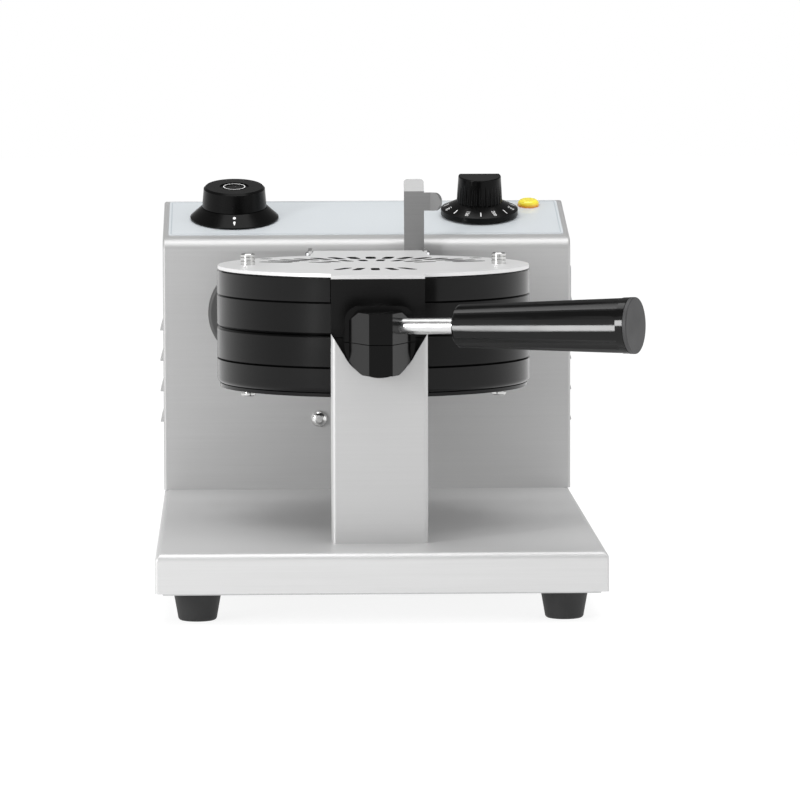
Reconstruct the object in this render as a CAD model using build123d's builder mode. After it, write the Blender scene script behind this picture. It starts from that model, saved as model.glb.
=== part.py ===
from build123d import *
from math import atan2, cos, degrees, hypot, radians, sin, tan
import os

# Round waffle maker that turns over, as separate pieces, in millimetres.
# X runs to the right, Y to the back and Z up. Depths are counted from the base's front edge.

# Base and feet
base_w = 250
base_h = 22
foot_h = 18
foot_r = 13.5
foot_tip_r = 10.5
foot_inset_x = 23
foot_inset_y = 30
foot_bore_r = 5.5
foot_bore = 9
sheet = 1.5
thin_sheet = 1.2
base_bend = 4
corner_bend = 1.5
lip = 38
plate_inset = 4

# Housing with its sloped panel
house_depth = 90
house_gap = 11
panel_over = 39.8
panel_rise = 20
house_bend = 8
flange = 14

# Louvres, vents, cable gland and terminal block
louvre_depth = 28
louvre_len = 44
louvre_h = 8.7
louvre_out = 2.3
louvre_skin = 0.9
louvre_pitch = 18.9
louvre_top = 104.8
louvre_count = 4
vent_w = 70
vent_h = 4
vent_pitch = 14
gland_x = -80
gland_up = 24
gland_out = 17
gland_r = 8
cable_r = 4.2
terminal_w = 42
terminal_d = 22
terminal_h = 16

# Turning axis and the double mould
axis_h = 113.2
mould_r = 91
mould_t = 19
mould_edge = 1.2
casing_t = 14
casing_flange = 11
casing_round = 3
plate_t = 2
parting = 0.2
block_w = 52.8
block_reach = 11
block_len = 25
cavity_rim = 8
cavity_deep = 11
grid_rim_t = 4.8
ledge_w = 17
pin_pitch = 17
pin_side = 10.5
pin_h = 8
pin_taper = 14
heater_in = 6
heater_wire = 3.2
pad_lift = 0.8
pad_gap = 1.5
boss_r = 6
stud_edge = 18
stud_r = 4.2
stud_h = 6.5
stud_shank = 2.5
stud_grip = 3
rim_screw_turn = 41.6
rim_screw_edge = 8.1
rim_head_r = 3.8
rim_hex_r = 1.25
rim_hex_deep = 1.2

# Front post and the journal in its notch
post_depth = 46
post_gap = 15
post_t = 2
post_fold = 14
post_bend = 2.5
post_fold_low = 7.4
horn_w = 5.3
horn_rise = 4.2
notch_play = 1.7
notch_open = 65
post_foot = 28
journal_r = 20
gap = 0.3

# Hub and handle
hub_depth = 18
hub_w = 34.2
hub_h = 17.2
hub_nose_w = 13
hub_corner = 5
collar_t = 3.4
collar_w = 38.8
collar_corner = 8
collar_gap = 2
tie_x = -6
tie_up = 10
tie_front = 40
tie_back = 90
rod_r = 4.5
rod_up = 9.7
rod_root = 10
rod_shown = 33.6
rod_hold = 95
handle_turn = 25
handle_lift = 1.7
grip_len = 102.4
grip_r0 = 12.2
grip_r1 = 15.5
grip_round = 3.5
flute_r = 14
flute_deep = 0.8
flute_count = 8
flute_turn = -4
flute_stop = 4.5
grip_cap_t = 2.5

# Yoke, hinge and rear shaft
yoke_gap = 2
yoke_w = 193.8
yoke_under = 4.6
yoke_t = 14
yoke_edge = 2
yoke_hub_r = 23
yoke_hub_len = 38
lug_x = 50
lug_w = 24
lug_h = 14
lug_low = 9.7
lug_screw = 14
bracket_t = 2
bracket_w = 72
bracket_low = 25
bracket_up = 33
bracket_screw = 12
lid_open = 100
barrel_r = 5
hinge_r = 3
ear_r = 6
ear_gap = 1
strap_w = 66
strap_root_w = 72
tongue_x = 22.5
tongue_w = 12.2
tongue_up = 70.3
lip_rise = 7.2
lip_back = 6.7
tab_up = 64
tab_h = 11
tab_flat = 3.5
tab_reach = 6
shaft_r = 10
shaft_bore_r = 6
bush_wall = 3
bush_flange_w = 5
bush_flange_t = 2
bearing_r = 22
bearing_len = 30
bearing_plate = 3
bearing_edge = 12
stop_ring_r = 17.5
stop_collar_r = 17
stop_collar_t = 10
stop_pin_r = 2.5

# Screws, nuts and running fits
fit = 0.05
clear = 0.15
m3 = 1.5
m4 = 2
m5 = 2.5
m6 = 3
m5_head_r = 4.5
m5_head_h = 3
m5_nut_r = 4.6
m5_nut_t = 4
dome_x = 29.5
dome_low = 69.8
upper_dome_x = 38
upper_dome_up = 15
dome_r = 5.1
dome_h = 3.7

# Timer, thermostat, lamp and switch
label_t = 0.4
label_low = 12.4
label_edge = 3.5
knob_lift = 0.5
timer_x = -81
timer_up = 50
timer_w = 42
timer_t = 24
timer_neck_r = 4.5
skirt_r = 27.4
skirt_tip_r = 20.3
skirt_h = 7.3
skirt_lip = 0.8
cap_r = 20
cap_tip_r = 19
cap_h = 12.4
cap_gap = 0.4
cap_round = 1.2
dish_r = 9
dish_deep = 0.7
dial_x = 71.5
dial_up = 55
dial_lift = 1
dial_r = 24
dial_rim = 3.3
dial_h = 8
grip_knob_r = 14.2
grip_knob_tip_r = 13.2
grip_knob_h = 16.6
grip_flat = 4
notch_count = 20
knob_shaft_r = 3
thermostat_w = 36
thermostat_t = 22
lamp_x = 103.3
lamp_up = 77
lamp_r = 6.7
lamp_h = 4
lamp_body_r = 4.9
lamp_body_t = 24
switch_depth = 30
switch_up = 120.5
bezel_w = 25
bezel_h = 30
bezel_t = 1.5
switch_w = 19
switch_h = 27.8
switch_t = 18
rocker_w = 14
rocker_r = 12.5
rocker_face = 3
rocker_turn = 18

# Places worked out from the sizes above
base_top = foot_h + base_h
axis_z = base_top + axis_h
back_t = mould_t + casing_t
half_h = back_t + plate_t
cavity_r = mould_r - cavity_rim
ledge_r = cavity_r - ledge_w
heater_r = ledge_r - heater_in
grid_seat = parting + cavity_deep + grid_rim_t
pad_t = casing_t - sheet - gap - 2 * heater_wire - pad_lift
stud_deep = back_t - grid_seat + stud_grip
rim_head_h = rim_head_r - m4
m5_len = post_t + sheet + m5_nut_t + 1
pad_r = mould_r - sheet - pad_gap
stud_x = mould_r - stud_edge
rim_screw_r = mould_r - rim_screw_edge
notch_r = journal_r + notch_play
post_w = 2 * (notch_r + horn_w)
horn_h = axis_h + horn_rise
block_front = post_depth + post_fold + post_gap
mould_depth = block_front + block_reach + mould_r
yoke_front = mould_depth + mould_r + yoke_gap
yoke_back = yoke_front + yoke_t
yoke_h = 2 * (back_t - yoke_under)
bracket_depth = yoke_back + yoke_hub_len
bracket_back = bracket_depth + bracket_t
house_front = bracket_back + house_gap
base_d = house_front + house_depth
slope = atan2(panel_rise, house_depth)
bend_h = axis_h + panel_over
bend_z = base_top + bend_h
house_back = base_d - thin_sheet
rear_z = bend_z + (house_back - house_front) * tan(slope)
hinge_up = half_h - barrel_r
lean = radians(lid_open - 90)
hinge_back = (tongue_up - hinge_up) * tan(lean) + barrel_r / cos(lean) + gap
hinge_depth = bracket_depth - hinge_back
journal_front = post_depth - collar_gap
hub_back = journal_front - collar_t
bush_r = shaft_r + bush_wall
bush_flange_r = bush_r + bush_flange_w
bush_front = house_front - bush_flange_t
wall_back = house_front + sheet
bearing_back = wall_back + bearing_plate + bearing_len
stop_front = bearing_back + 1
stop_depth = stop_front + stop_collar_t / 2
notch_z = axis_z - journal_r - gap + notch_r
grip_end = rod_shown + grip_len
handle_end = grip_end + grip_cap_t
facet_x = (hub_w + hub_nose_w) / 4
facet_depth = (hub_depth + hub_back) / 2
right_end = facet_x + handle_end * cos(radians(handle_turn)) + grip_r1 * sin(radians(handle_turn))
front_end = facet_depth - handle_end * sin(radians(handle_turn)) - grip_r1 * cos(radians(handle_turn))
mid_x = -(right_end - base_w / 2 - louvre_out) / 2
mid_y = -(base_d + gland_out + front_end) / 2

# Datum planes: floor, one facing the front, one facing right, the turning axis,
# the mould's parting plane, the sloped panel and the handle's own axis
floor = Plane((mid_x, mid_y, 0))
upright = Plane((mid_x, mid_y, 0), x_dir=(1, 0, 0), z_dir=(0, -1, 0))
side = Plane((mid_x, mid_y, 0), x_dir=(0, 1, 0), z_dir=(1, 0, 0))
axis = Plane((mid_x, mid_y, axis_z), x_dir=(1, 0, 0), z_dir=(0, -1, 0))
turned = Plane((mid_x, mid_y, axis_z), x_dir=(0, 1, 0), z_dir=(1, 0, 0))
mould = Plane((mid_x, mid_y + mould_depth, axis_z))
panel = Plane(
    (mid_x, mid_y + house_front, bend_z),
    x_dir=(1, 0, 0),
    z_dir=(0, -sin(slope), cos(slope)),
)
timer = Plane(panel.from_local_coords((timer_x, timer_up, 0)), x_dir=panel.x_dir, z_dir=panel.z_dir)
dial = Plane(panel.from_local_coords((dial_x, dial_up, 0)), x_dir=panel.x_dir, z_dir=panel.z_dir)
lamp = Plane(panel.from_local_coords((lamp_x, lamp_up, 0)), x_dir=panel.x_dir, z_dir=panel.z_dir)
handle = Plane(
    (mid_x + facet_x, mid_y + facet_depth, axis_z + rod_up),
    x_dir=(sin(radians(handle_turn)), cos(radians(handle_turn)), 0),
    z_dir=(
        cos(radians(handle_turn)) * cos(radians(handle_lift)),
        -sin(radians(handle_turn)) * cos(radians(handle_lift)),
        sin(radians(handle_lift)),
    ),
)
rocker = Plane(
    (mid_x + base_w / 2 - rocker_face, mid_y + house_front + switch_depth, base_top + switch_up),
    x_dir=(1, 0, 0),
    z_dir=(0, -1, 0),
)

# Places of the screws
foot_places = [
    (sx * (base_w / 2 - foot_inset_x), y)
    for sx in (-1, 1)
    for y in (foot_inset_y, base_d - foot_inset_y)
]
post_places = [(sx * 15, post_depth + 18) for sx in (-1, 1)]
house_places = [
    (sx * (base_w / 2 - flange / 2 - 2), y)
    for sx in (-1, 1)
    for y in (house_front + 20, house_back - 20)
]
back_places = [
    (sx * (base_w / 2 - flange / 2 - 0.5), base_top + z)
    for sx in (-1, 1)
    for z in (20, 0.55 * bend_h, bend_h)
]
dome_places = [
    (-dome_x, -dome_low),
    (dome_x, -dome_low),
    (-upper_dome_x, upper_dome_up),
    (upper_dome_x, upper_dome_up),
]
bracket_places = [(sx * bracket_screw, sz * bracket_screw) for sx in (-1, 1) for sz in (-1, 1)]
lug_places = [(-lug_x, -lug_low), (lug_x, -lug_low)]
stud_places = [(-stud_x, 0), (stud_x, 0)]
rim_places = [
    (sx * rim_screw_r * cos(radians(rim_screw_turn)), rim_screw_r * sin(radians(rim_screw_turn)))
    for sx in (-1, 1)
]

os.makedirs("parts", exist_ok=True)

# Base pan: an upturned tray with rounded top edges and a broad lip turned in below
with BuildPart() as base_pan:
    with BuildSketch(floor.offset(foot_h)):
        with Locations((0, base_d / 2)):
            Rectangle(base_w, base_d)
    extrude(amount=base_h)
    fillet(base_pan.faces().sort_by(Axis.Z)[-1].edges(), base_bend)
    corners = base_pan.edges().filter_by(lambda e: abs(e.center().X - mid_x) > base_w / 2 - base_bend)
    corners = corners.filter_by(lambda e: e.length < base_w / 2)
    fillet(corners, corner_bend)
    with BuildSketch(floor.offset(foot_h + sheet)):
        with Locations((0, base_d / 2)):
            Rectangle(base_w - 2 * sheet, base_d - 2 * sheet)
    extrude(amount=base_h - 2 * sheet, mode=Mode.SUBTRACT)
    ceiling = base_pan.edges().filter_by_position(Axis.Z, base_top - sheet - 0.01, base_top - sheet + 0.01)
    fillet(ceiling, base_bend - sheet)
    with BuildSketch(floor.offset(foot_h)):
        with Locations((0, base_d / 2)):
            Rectangle(base_w - 2 * lip, base_d - 2 * lip)
        with Locations(*foot_places):
            Circle(m5 + clear)
    extrude(amount=sheet, mode=Mode.SUBTRACT)
    with BuildSketch(floor.offset(base_top - sheet)):
        with Locations(*post_places, *house_places):
            Circle(m5 + clear)
    extrude(amount=sheet, mode=Mode.SUBTRACT)
base_pan.part.label = "base_pan"
export_step(base_pan.part, "parts/base_pan.step")

# Bottom plate under the lip, with two columns of vent slots
with BuildPart() as bottom_plate:
    with BuildSketch(floor.offset(foot_h - thin_sheet)):
        with Locations((0, base_d / 2)):
            RectangleRounded(base_w - 2 * plate_inset, base_d - 2 * plate_inset, corner_bend)
            with GridLocations(vent_w + vent_pitch, vent_pitch, 2, 12):
                SlotOverall(vent_w, vent_h, mode=Mode.SUBTRACT)
        with Locations(*foot_places):
            Circle(m5 + clear, mode=Mode.SUBTRACT)
    extrude(amount=thin_sheet)
bottom_plate.part.label = "bottom_plate"
export_step(bottom_plate.part, "parts/bottom_plate.step")

# Rubber feet: four tapered pads with a counterbore for the screw head
with BuildPart() as rubber_feet:
    with BuildSketch(floor.offset(foot_h - thin_sheet)):
        with Locations(*foot_places):
            Circle(foot_r)
    extrude(amount=-(foot_h - thin_sheet), taper=degrees(atan2(foot_r - foot_tip_r, foot_h - thin_sheet)))
    fillet(rubber_feet.edges().filter_by(GeomType.CIRCLE).group_by(Axis.Z)[0], 2)
    fillet(rubber_feet.edges().filter_by(GeomType.CIRCLE).group_by(Axis.Z)[-1], 1)
    with BuildSketch(floor):
        with Locations(*foot_places):
            Circle(foot_bore_r)
    extrude(amount=foot_bore, mode=Mode.SUBTRACT)
    with BuildSketch(floor):
        with Locations(*foot_places):
            Circle(m5 + clear)
    extrude(amount=foot_h, mode=Mode.SUBTRACT)
rubber_feet.part.label = "rubber_feet"
export_step(rubber_feet.part, "parts/rubber_feet.step")

# Foot screws, from below through foot, plate and lip
with BuildPart() as foot_screws:
    with BuildSketch(floor.offset(foot_bore - 3.2)):
        with Locations(*foot_places):
            Circle(foot_bore_r - 1)
    extrude(amount=3.2)
    with BuildSketch(floor.offset(foot_bore)):
        with Locations(*foot_places):
            Circle(m5)
    extrude(amount=foot_h + sheet + m5_nut_t + 1 - foot_bore)
foot_screws.part.label = "foot_screws"
export_step(foot_screws.part, "parts/foot_screws.step")

# M5 nuts on the lip for the feet and under the base top for the post and the housing
with BuildPart() as m5_nuts:
    with BuildSketch(floor.offset(foot_h + sheet)):
        with Locations(*foot_places):
            RegularPolygon(m5_nut_r, 6)
            Circle(m5 + clear, mode=Mode.SUBTRACT)
    extrude(amount=m5_nut_t)
    with BuildSketch(floor.offset(base_top - sheet - m5_nut_t)):
        with Locations(*post_places, *house_places):
            RegularPolygon(m5_nut_r, 6)
            Circle(m5 + clear, mode=Mode.SUBTRACT)
    extrude(amount=m5_nut_t)
m5_nuts.part.label = "m5_nuts"
export_step(m5_nuts.part, "parts/m5_nuts.step")

# Housing shell: front wall, sloped top and sides, with turned-in flanges and pressed louvres
with BuildPart() as housing_shell:
    with BuildSketch(side.offset(-base_w / 2)):
        Polygon(
            (house_front, base_top),
            (house_front, bend_z),
            (house_back, rear_z),
            (house_back, base_top),
            align=None,
        )
    extrude(amount=base_w)
    bend = housing_shell.edges().filter_by(Axis.X).filter_by_position(Axis.Z, bend_z - 0.1, bend_z + 0.1)
    fillet(bend, house_bend)
    rims = housing_shell.edges().filter_by(lambda e: abs(e.center().X - mid_x) > base_w / 2 - 0.1)
    rims = rims.filter_by(lambda e: e.center().Y < mid_y + house_back - 1 and e.center().Z > base_top + 1)
    fillet(rims, corner_bend)
    with BuildSketch(side.offset(sheet - base_w / 2)) as hollow:
        Polygon(
            (wall_back, base_top + sheet),
            (wall_back, bend_z + sheet * tan(slope) - sheet / cos(slope)),
            (house_back - sheet, rear_z - sheet * tan(slope) - sheet / cos(slope)),
            (house_back - sheet, base_top + sheet),
            align=None,
        )
        fillet(hollow.vertices().sort_by(Axis.X)[:2].sort_by(Axis.Y)[-1], house_bend - sheet)
    extrude(amount=base_w - 2 * sheet, mode=Mode.SUBTRACT)
    with BuildSketch(floor.offset(base_top)):
        with Locations((0, (house_front + house_back) / 2)):
            Rectangle(base_w - 2 * flange, house_back - house_front - 2 * flange)
        with Locations(*house_places):
            Circle(m5 + clear)
    extrude(amount=sheet, mode=Mode.SUBTRACT)
    with BuildSketch(upright.offset(-house_back)):
        with Locations((0, (base_top + rear_z - flange / 2) / 2)):
            Rectangle(base_w - 2 * flange, rear_z - base_top - 2.5 * flange)
        with Locations(*back_places):
            Circle(m4)
    extrude(amount=sheet, mode=Mode.SUBTRACT)
    for sx in (-1, 1):
        with BuildSketch(upright.offset(-(house_front + louvre_depth))) as hoods:
            for row in range(louvre_count):
                low = base_top + louvre_top - louvre_h - row * louvre_pitch
                Polygon(
                    (sx * (base_w / 2 - 0.5), low + louvre_h),
                    (sx * base_w / 2, low + louvre_h),
                    (sx * (base_w / 2 + louvre_out), low + 0.8),
                    (sx * (base_w / 2 + louvre_out), low),
                    (sx * (base_w / 2 - 0.5), low),
                    align=None,
                )
        extrude(amount=-louvre_len)
        with BuildSketch(upright.offset(-(house_front + louvre_depth + louvre_skin))):
            for row in range(louvre_count):
                low = base_top + louvre_top - louvre_h - row * louvre_pitch
                Polygon(
                    (sx * (base_w / 2 - sheet - 0.5), low),
                    (sx * (base_w / 2 + louvre_out - louvre_skin), low),
                    (sx * (base_w / 2 + louvre_out - louvre_skin), low + 0.8),
                    (sx * (base_w / 2 - louvre_skin), low + louvre_h),
                    (sx * (base_w / 2 - sheet - 0.5), low + louvre_h + 2),
                    align=None,
                )
        extrude(amount=-(louvre_len - 2 * louvre_skin), mode=Mode.SUBTRACT)
    with BuildSketch(axis.offset(-house_front)):
        Circle(bush_r + clear)
        with Locations(*dome_places):
            Circle(m4 + clear)
    extrude(amount=-sheet, mode=Mode.SUBTRACT)
    with BuildSketch(panel):
        with Locations((timer_x, timer_up)):
            Circle(timer_neck_r + clear)
        with Locations((dial_x, dial_up)):
            Circle(knob_shaft_r + 1)
            with GridLocations(thermostat_w - 8, 0, 2, 1):
                Circle(m3 + clear)
        with Locations((lamp_x, lamp_up)):
            Circle(lamp_body_r + clear)
    extrude(amount=-2 * sheet, mode=Mode.SUBTRACT)
    with BuildSketch(side.offset(base_w / 2)):
        with Locations((house_front + switch_depth, base_top + switch_up)):
            Rectangle(switch_w + 2 * clear, switch_h + 2 * clear)
    extrude(amount=-2 * sheet, mode=Mode.SUBTRACT)
housing_shell.part.label = "housing_shell"
export_step(housing_shell.part, "parts/housing_shell.step")

# Back cover with vent slots and the hole of the cable gland
with BuildPart() as back_cover:
    with BuildSketch(upright.offset(-house_back)):
        with Locations((0, (base_top + rear_z) / 2)):
            Rectangle(base_w - 1, rear_z - base_top - 1)
        with Locations((0, (base_top + rear_z) / 2 + vent_pitch)):
            with GridLocations(vent_w + vent_pitch, vent_pitch, 2, 6):
                SlotOverall(vent_w, vent_h, mode=Mode.SUBTRACT)
        with Locations((gland_x, base_top + gland_up)):
            Circle(gland_r + clear, mode=Mode.SUBTRACT)
        with Locations(*back_places):
            Circle(m4 + clear, mode=Mode.SUBTRACT)
    extrude(amount=-thin_sheet)
back_cover.part.label = "back_cover"
export_step(back_cover.part, "parts/back_cover.step")

# Back cover screws with low round heads
with BuildPart() as back_screws:
    with BuildSketch(upright.offset(-base_d)):
        with Locations(*back_places):
            Circle(3.6)
    extrude(amount=-2)
    fillet(back_screws.edges().filter_by(GeomType.CIRCLE).group_by(Axis.Y)[-1], 1.2)
    with BuildSketch(upright.offset(-base_d)):
        with Locations(*back_places):
            Circle(m4 - fit)
    extrude(amount=thin_sheet + sheet + 4)
back_screws.part.label = "back_screws"
export_step(back_screws.part, "parts/back_screws.step")

# Cable gland: a snap-in collar with a tapered sleeve around the cable bore
with BuildPart() as cable_gland:
    with BuildSketch(upright.offset(-base_d)):
        with Locations((gland_x, base_top + gland_up)):
            Circle(gland_r + 3)
    extrude(amount=-3)
    with BuildSketch(upright.offset(-(base_d + 3))):
        with Locations((gland_x, base_top + gland_up)):
            Circle(gland_r)
    extrude(amount=-(gland_out - 3), taper=5)
    with BuildSketch(upright.offset(-base_d)):
        with Locations((gland_x, base_top + gland_up)):
            Circle(gland_r)
    extrude(amount=thin_sheet + 7)
    with BuildSketch(upright.offset(-house_back)):
        with Locations((gland_x, base_top + gland_up)):
            Circle(gland_r + 1)
    extrude(amount=2)
    with BuildSketch(upright.offset(-(base_d + gland_out))):
        with Locations((gland_x, base_top + gland_up)):
            Circle(cable_r)
    extrude(amount=gland_out + thin_sheet + 7, mode=Mode.SUBTRACT)
cable_gland.part.label = "cable_gland"
export_step(cable_gland.part, "parts/cable_gland.step")

# Terminal block on the base top inside the housing
with BuildPart() as terminal_block:
    with BuildSketch(floor.offset(base_top)):
        with Locations((0, house_back - 30)):
            Rectangle(terminal_w, terminal_d)
    extrude(amount=terminal_h)
    with BuildSketch(floor.offset(base_top + terminal_h)):
        with Locations((0, house_back - 30)):
            with GridLocations(terminal_w / 3, 0, 3, 1):
                Rectangle(terminal_w / 3 - 2, terminal_d - 6)
    extrude(amount=-terminal_h / 2, mode=Mode.SUBTRACT)
terminal_block.part.label = "terminal_block"
export_step(terminal_block.part, "parts/terminal_block.step")

# Printed label plate on the sloped panel
with BuildPart() as panel_label:
    label_len = hypot(base_d - house_front, panel_rise) - label_edge - label_low
    with BuildSketch(panel):
        with Locations((0, label_low + label_len / 2)):
            RectangleRounded(base_w - 2 * label_edge, label_len, 2)
        with Locations((timer_x, timer_up)):
            Circle(timer_neck_r + clear, mode=Mode.SUBTRACT)
        with Locations((dial_x, dial_up)):
            Circle(knob_shaft_r + 1, mode=Mode.SUBTRACT)
            with GridLocations(thermostat_w - 8, 0, 2, 1):
                Circle(m3 + clear, mode=Mode.SUBTRACT)
        with Locations((lamp_x, lamp_up)):
            Circle(lamp_body_r + clear, mode=Mode.SUBTRACT)
    extrude(amount=label_t)
panel_label.part.label = "panel_label"
export_step(panel_label.part, "parts/panel_label.step")

# Front post: a folded channel with a foot flange and an open notch between two horns
with BuildPart() as front_post:
    with BuildSketch(floor.offset(base_top)) as channel:
        with Locations((0, post_depth + post_fold / 2)):
            Rectangle(post_w, post_fold)
        fillet(channel.vertices().group_by(Axis.Y)[0], post_bend)
        with BuildSketch(mode=Mode.SUBTRACT) as inside:
            with Locations((0, post_depth + post_t + post_fold / 2)):
                Rectangle(post_w - 2 * post_t, post_fold)
            fillet(inside.vertices().group_by(Axis.Y)[0], post_bend - post_t)
    extrude(amount=horn_h)
    with BuildSketch(floor.offset(base_top)):
        with Locations((0, post_depth + post_t / 2 + post_foot / 2)):
            Rectangle(post_w - 2 * post_t, post_foot - post_t)
    extrude(amount=post_t)
    with BuildSketch(upright.offset(-(post_depth - 1))) as notch:
        reach = radians(notch_open)
        with Locations((0, notch_z)):
            Circle(notch_r)
        Polygon(
            (-notch_r * sin(reach), notch_z - notch_r * cos(reach)),
            (notch_r * sin(reach), notch_z - notch_r * cos(reach)),
            (post_w / 2, base_top + horn_h),
            (post_w / 2, axis_z + notch_r),
            (-post_w / 2, axis_z + notch_r),
            (-post_w / 2, base_top + horn_h),
            align=None,
        )
    extrude(amount=-(post_fold + 2), mode=Mode.SUBTRACT)
    with BuildSketch(side.offset(-post_w / 2 - 1)):
        Polygon(
            (post_depth + post_bend + 1, base_top + horn_h + 1),
            (post_depth + post_bend + 1, base_top + horn_h - post_fold_low),
            (post_depth + post_fold - 4, base_top + horn_h - post_fold_low),
            (post_depth + post_fold + 1, base_top + horn_h - post_fold_low - 5),
            (post_depth + post_fold + 1, base_top + horn_h + 1),
            align=None,
        )
    extrude(amount=post_w + 2, mode=Mode.SUBTRACT)
    with BuildSketch(floor.offset(base_top)):
        with Locations(*post_places):
            Circle(m5 + clear)
    extrude(amount=post_t, mode=Mode.SUBTRACT)
front_post.part.label = "front_post"
export_step(front_post.part, "parts/front_post.step")

# M5 screws down into the base top: two through the post's foot flange, four through the
# housing's flange
with BuildPart() as m5_screws:
    for level, places in ((base_top + post_t, post_places), (base_top + sheet, house_places)):
        with BuildSketch(floor.offset(level)):
            with Locations(*places):
                Circle(m5_head_r)
        extrude(amount=m5_head_h)
        heads = m5_screws.edges().filter_by(GeomType.CIRCLE)
        heads = heads.filter_by_position(Axis.Z, level + m5_head_h - 0.01, level + m5_head_h + 0.01)
        fillet(heads, m5_head_h / 2)
        with BuildSketch(floor.offset(level)):
            with Locations(*places):
                Circle(m5)
        extrude(amount=-m5_len)
m5_screws.part.label = "m5_screws"
export_step(m5_screws.part, "parts/m5_screws.step")

# Bearing housing behind the front wall, with a half ring that stops the turn at both ends
with BuildPart() as bearing_housing:
    with BuildSketch(axis.offset(-wall_back)):
        with Locations((0, (upper_dome_up - dome_low) / 2)):
            Rectangle(2 * (upper_dome_x + bearing_edge), upper_dome_up + dome_low + 2 * bearing_edge)
    extrude(amount=-bearing_plate)
    with BuildSketch(axis.offset(-wall_back)):
        Circle(bearing_r)
    extrude(amount=-(bearing_back - wall_back))
    with BuildSketch(axis.offset(-bearing_back)):
        Circle(bearing_r)
        Circle(stop_ring_r, mode=Mode.SUBTRACT)
        with Locations((0, bearing_r - stop_pin_r - gap)):
            Rectangle(2 * bearing_r, 2 * bearing_r, mode=Mode.SUBTRACT)
    extrude(amount=-stop_collar_t)
    with BuildSketch(axis.offset(-wall_back)):
        Circle(bush_r + clear)
    extrude(amount=-(bearing_back - wall_back), mode=Mode.SUBTRACT)
    with BuildSketch(axis.offset(-wall_back)):
        with Locations(*dome_places):
            Circle(m4 + clear)
    extrude(amount=-bearing_plate, mode=Mode.SUBTRACT)
bearing_housing.part.label = "bearing_housing"
export_step(bearing_housing.part, "parts/bearing_housing.step")

# Flanged bush in the front wall and the bearing housing
with BuildPart() as bearing_bush:
    with BuildSketch(axis.offset(-bush_front)):
        Circle(bush_flange_r)
    extrude(amount=-bush_flange_t)
    with BuildSketch(axis.offset(-house_front)):
        Circle(bush_r)
    extrude(amount=-(bearing_back - house_front))
    with BuildSketch(axis.offset(-bush_front)):
        Circle(shaft_r + fit)
    extrude(amount=-(bearing_back - bush_front), mode=Mode.SUBTRACT)
bearing_bush.part.label = "bearing_bush"
export_step(bearing_bush.part, "parts/bearing_bush.step")

# Dome-headed screws through the front wall into the bearing housing's plate
with BuildPart() as wall_screws:
    with BuildSketch(axis.offset(-house_front)):
        with Locations(*dome_places):
            Circle(dome_r)
    extrude(amount=dome_h)
    fillet(wall_screws.edges().filter_by(GeomType.CIRCLE).group_by(Axis.Y)[0], dome_h - 0.6)
    with BuildSketch(axis.offset(-house_front)):
        with Locations(*dome_places):
            Circle(m4)
    extrude(amount=-(sheet + bearing_plate + 4))
wall_screws.part.label = "wall_screws"
export_step(wall_screws.part, "parts/wall_screws.step")

# Timer body under the panel, with its threaded neck
with BuildPart() as timer_body:
    with BuildSketch(timer.offset(-sheet)):
        RectangleRounded(timer_w, timer_w, 3)
    extrude(amount=-timer_t)
    with BuildSketch(timer.offset(-sheet)):
        Circle(timer_neck_r)
    extrude(amount=sheet + label_t + 4)
    with BuildSketch(timer.offset(-sheet - timer_t / 2)):
        Circle(knob_shaft_r + fit)
    extrude(amount=timer_t, mode=Mode.SUBTRACT)
timer_body.part.label = "timer_body"
export_step(timer_body.part, "parts/timer_body.step")

# Timer nut on the label
with BuildPart() as timer_nut:
    with BuildSketch(timer.offset(label_t)):
        RegularPolygon(7.5, 6)
        Circle(timer_neck_r + clear, mode=Mode.SUBTRACT)
    extrude(amount=3)
timer_nut.part.label = "timer_nut"
export_step(timer_nut.part, "parts/timer_nut.step")

# Timer shaft with a flat at its top
with BuildPart() as timer_shaft:
    with BuildSketch(timer.offset(1 - sheet - timer_t / 2)):
        Circle(knob_shaft_r)
    extrude(amount=sheet + timer_t / 2 + label_t + knob_lift + skirt_h + cap_h / 2)
timer_shaft.part.label = "timer_shaft"
export_step(timer_shaft.part, "parts/timer_shaft.step")

# Timer skirt: a flared ring, hollow over the nut
with BuildPart() as timer_skirt:
    skirt_low = label_t + knob_lift
    skirt_top = skirt_low + skirt_h
    with BuildSketch(Plane(timer.origin, x_dir=timer.x_dir, z_dir=-timer.y_dir)):
        Polygon(
            (knob_shaft_r + fit, skirt_top),
            (knob_shaft_r + fit, label_t + 5.2),
            (10, label_t + 5.2),
            (10, skirt_low),
            (skirt_r, skirt_low),
            (skirt_r, skirt_low + skirt_lip),
            (skirt_tip_r, skirt_top),
            align=None,
        )
    revolve(axis=Axis(timer.origin, timer.z_dir))
timer_skirt.part.label = "timer_skirt"
export_step(timer_skirt.part, "parts/timer_skirt.step")

# Timer cap on the skirt, with a thin groove below and a round dish with a ring on top
with BuildPart() as timer_cap:
    cap_low = skirt_top + cap_gap
    cap_top = cap_low + cap_h
    with BuildSketch(Plane(timer.origin, x_dir=timer.x_dir, z_dir=-timer.y_dir)):
        Polygon(
            (0, cap_low + cap_h / 2 + 2),
            (knob_shaft_r + fit, cap_low + cap_h / 2 + 2),
            (knob_shaft_r + fit, skirt_top),
            (cap_r - 2, skirt_top),
            (cap_r - 2, cap_low),
            (cap_r, cap_low),
            (cap_tip_r, cap_top - cap_round),
            (cap_tip_r - cap_round, cap_top),
            (dish_r, cap_top),
            (dish_r, cap_top - dish_deep),
            (dish_r - 2, cap_top - dish_deep),
            (dish_r - 2, cap_top - dish_deep / 3),
            (dish_r - 2.8, cap_top - dish_deep / 3),
            (dish_r - 2.8, cap_top - dish_deep),
            (0, cap_top - dish_deep),
            align=None,
        )
    revolve(axis=Axis(timer.origin, timer.z_dir))
timer_cap.part.label = "timer_cap"
export_step(timer_cap.part, "parts/timer_cap.step")

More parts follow.
